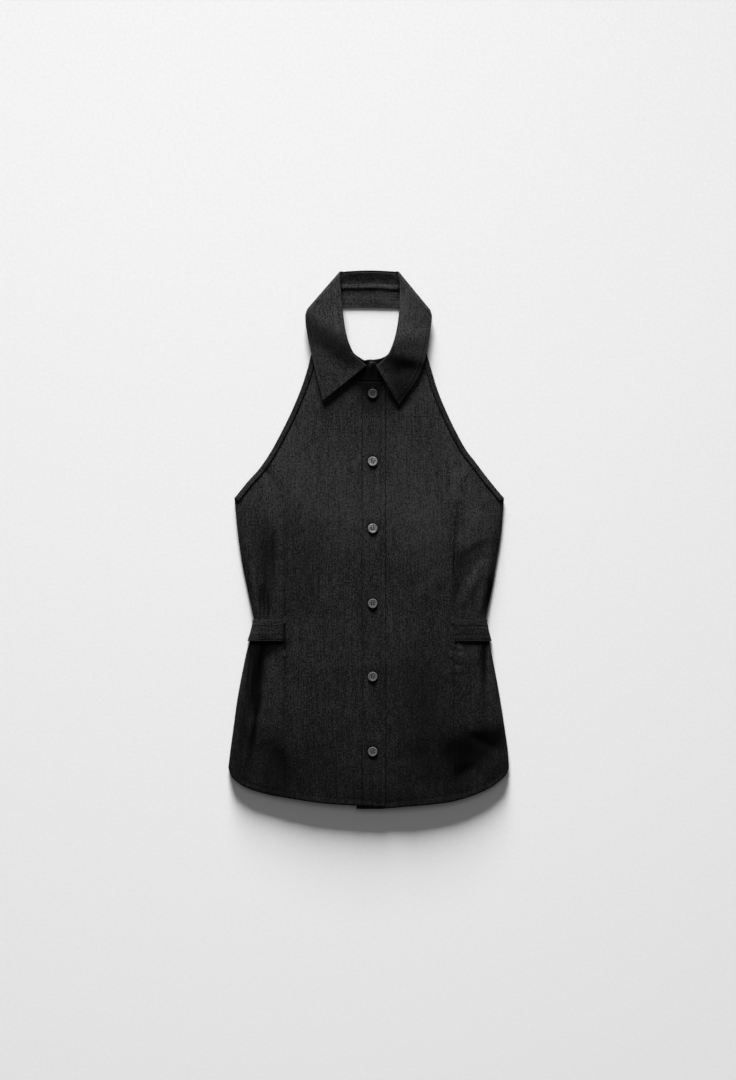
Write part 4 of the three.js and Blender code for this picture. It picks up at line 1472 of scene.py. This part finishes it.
def neck_rows(bm):
    """Rows that show behind the neck: on the stand's inner face and the leaf's underside."""
    hem = 1 - LEAF_HEM_ROW / LEAF_DEPTH
    for surface, stations, before, shares, length in (
        (stand_surface, STAND_STATIONS, STAND_END * STAND_STEPS, (0.66, 0.94), 80),
        (leaf_surface, LEAF_STATIONS, LEAF_END * LEAF_STEPS, (hem,), 140),
    ):
        start = (before + TURNS) / (len(stations) - 1)
        inner = under_point(surface)
        for share in shares:
            stitch_row(
                bm, lambda t: (1 - lerp(start, 1 - start, t), share), inner, length, (0.003, 0.01))


sewn("neck_stitching", [neck_rows])


def bartack(x, y, width, height):
    """Close zigzag stitching that holds the end of a tab."""
    def sew(bm):
        turns = round(height / 0.75)
        for k in range(turns):
            low = y - height / 2 + height * k / turns
            narrow = math.sqrt(max(0.12, 1 - (2 * (k + 0.5) / turns - 1) ** 2))
            half = width / 2 * narrow
            sign = 1 if k % 2 else -1
            start = over_front(x - sign * half, low, 0.25)
            end = over_front(x + sign * half, low + height / turns, 0.25)
            stitch(bm, start, end, UP, THICK_THREAD)
    return sew


sewn("bartacks", [
    bartack(-111.6, -106.6, 7.0, 9.5),
    bartack(-112.0, -151.0, 6.6, 8.5),
    bartack(111.8, -106.6, 6.6, 9.5),
    bartack(109.4, -152.0, 6.4, 8.0),
], finish=THREAD_TACK)


def buttonhole(bm, y):
    """A worked buttonhole that runs up and down under its button."""
    half, width, slit = 8.2, 1.0, 0.25

    def sew(x0, x1, place):
        start, end = (on_placket(BUTTON_X + x, place) for x in (x0, x1))
        stitch(bm, start, end, UP, THICK_THREAD)

    for k in range(26):
        for sign in (-1, 1):
            sew(sign * slit, sign * (slit + width), y + lerp(-half, half, k / 25))
    for sign in (-1, 1):
        for k in range(3):
            sew(-1.3, 1.3, y + sign * (half + 0.45 * k))


sewn("buttonholes", [lambda bm, y=y: buttonhole(bm, y) for y in BUTTON_HEIGHTS])

# Buttons
HOLE_RADIUS, HOLE_ACROSS, HOLE_ALONG = 0.95, 3.0, 2.6
BUTTON_SINK = 0.3
BUTTON_PROFILE = (
    (0.0, 0.0), (5.2, 0.0), (6.1, 0.35), (6.4, 0.9), (6.4, 1.45), (6.2, 1.85), (5.8, 2.06),
    (5.3, 2.1), (4.9, 2.04), (4.5, 1.94), (4.0, 1.88), (3.0, 1.86), (0.0, 1.86),
)


def button_disc():
    """The button's body, spun from its profile, with four holes cut through it."""
    bm = bmesh.new()
    verts = [bm.verts.new((r, 0, z)) for r, z in BUTTON_PROFILE]
    edges = [bm.edges.new(pair) for pair in zip(verts, verts[1:])]
    bmesh.ops.spin(
        bm, geom=verts + edges, cent=(0, 0, 0), axis=(0, 0, 1), angle=2 * math.pi, steps=48,
        use_merge=True)
    bmesh.ops.remove_doubles(bm, verts=bm.verts, dist=1e-4)
    bmesh.ops.recalc_face_normals(bm, faces=bm.faces)
    whole = placed("disc", mesh_of("disc", bm))
    bm = bmesh.new()
    for x in (-HOLE_ACROSS / 2, HOLE_ACROSS / 2):
        for y in (-HOLE_ALONG / 2, HOLE_ALONG / 2):
            bmesh.ops.create_cone(
                bm, cap_ends=True, segments=16, radius1=HOLE_RADIUS, radius2=HOLE_RADIUS, depth=8,
                matrix=Matrix.Translation((x, y, 1)))
    drill = placed("drills", mesh_of("drills", bm))
    holes = whole.modifiers.new("holes", "BOOLEAN")
    holes.operation = "DIFFERENCE"
    holes.object = drill
    holes.solver = "EXACT"
    view = bpy.context.evaluated_depsgraph_get()
    drilled = bpy.data.meshes.new_from_object(whole.evaluated_get(view))
    for part in (whole, drill):
        bpy.data.objects.remove(part)
    return drilled


DISC = button_disc()


def button(number, y):
    """Makes a button and gives back the sewing of its thread."""
    spot = Vector((BUTTON_X, y, front_height(BUTTON_X, y) - BUTTON_SINK))
    spin = Matrix.Rotation(0.3 * math.sin(number * 2.3), 3, "Z")
    bm = bmesh.new()
    bm.from_mesh(DISC)
    bmesh.ops.rotate(bm, cent=(0, 0, 0), matrix=spin, verts=bm.verts)
    bmesh.ops.translate(bm, vec=spot, verts=bm.verts)
    name = f"button_{number}"
    piece = finished(name, bm, RESIN)
    piece.data.set_sharp_from_angle(angle=math.radians(32))
    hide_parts(name)

    def thread(bm):
        for x in (-HOLE_ACROSS / 2, HOLE_ACROSS / 2):
            a, b = Vector((x, 0.3 - HOLE_ALONG / 2, 1.7)), Vector((x, HOLE_ALONG / 2 - 0.3, 1.7))
            stitch(bm, spot + spin @ a, spot + spin @ b, UP)
    return thread


threads = [button(number, y) for number, y in enumerate(BUTTON_HEIGHTS, 1)]
sewn("button_thread", threads)


for side, piece in bands.items():
    "front_centre_" + side
    "front_side_" + side
for side, piece in tabs.items():
    "front_side_" + side


# Floor and light
def floor_finish():
    f = Finish("floor")
    place = f.place()
    paler = f.range(f.part(place, "Y"), 0.75, -0.75, "LINEAR")
    grain = f.noise(place, 260.0, 3.0)
    return f.finish({
        "Base Color": f.mix(
            (paler + grain * 0.16 - 0.08).clamped(), grey(0.49, (0, 0, 0.002)), grey(0.98)),
        "Roughness": 0.9,
        "Specular IOR Level": 0.1,
    })


bm = bmesh.new()
bmesh.ops.create_grid(bm, x_segments=2, y_segments=2, size=30)
bmesh.ops.translate(bm, vec=(0, 0, -0.0003), verts=bm.verts)
floor = placed("floor", mesh_of("floor", bm))
floor.data.materials.append(floor_finish())


def softbox(name, place, width, height, power):
    """A soft light that is turned to the middle of the garment."""
    light = bpy.data.lights.new(name, "AREA")
    light.shape = "RECTANGLE"
    light.size = width
    light.size_y = height
    light.energy = power
    box = placed(name, light)
    box.location = place
    box.rotation_euler = (Vector() - Vector(place)).to_track_quat("-Z", "Y").to_euler()


softbox("key", (-0.3, 4.15, 1.0), 1.5, 1.3, 782)
softbox("overhead", (0.0, 1.2, 3.0), 2.4, 1.6, 8)

world = bpy.data.worlds.new("studio")
world.use_nodes = True
world.node_tree.nodes["Background"].inputs["Color"].default_value = (1.0, 1.0, 1.0, 1)
world.node_tree.nodes["Background"].inputs["Strength"].default_value = 0.1
bpy.context.scene.world = world
bpy.context.scene.view_settings.view_transform = "Standard"
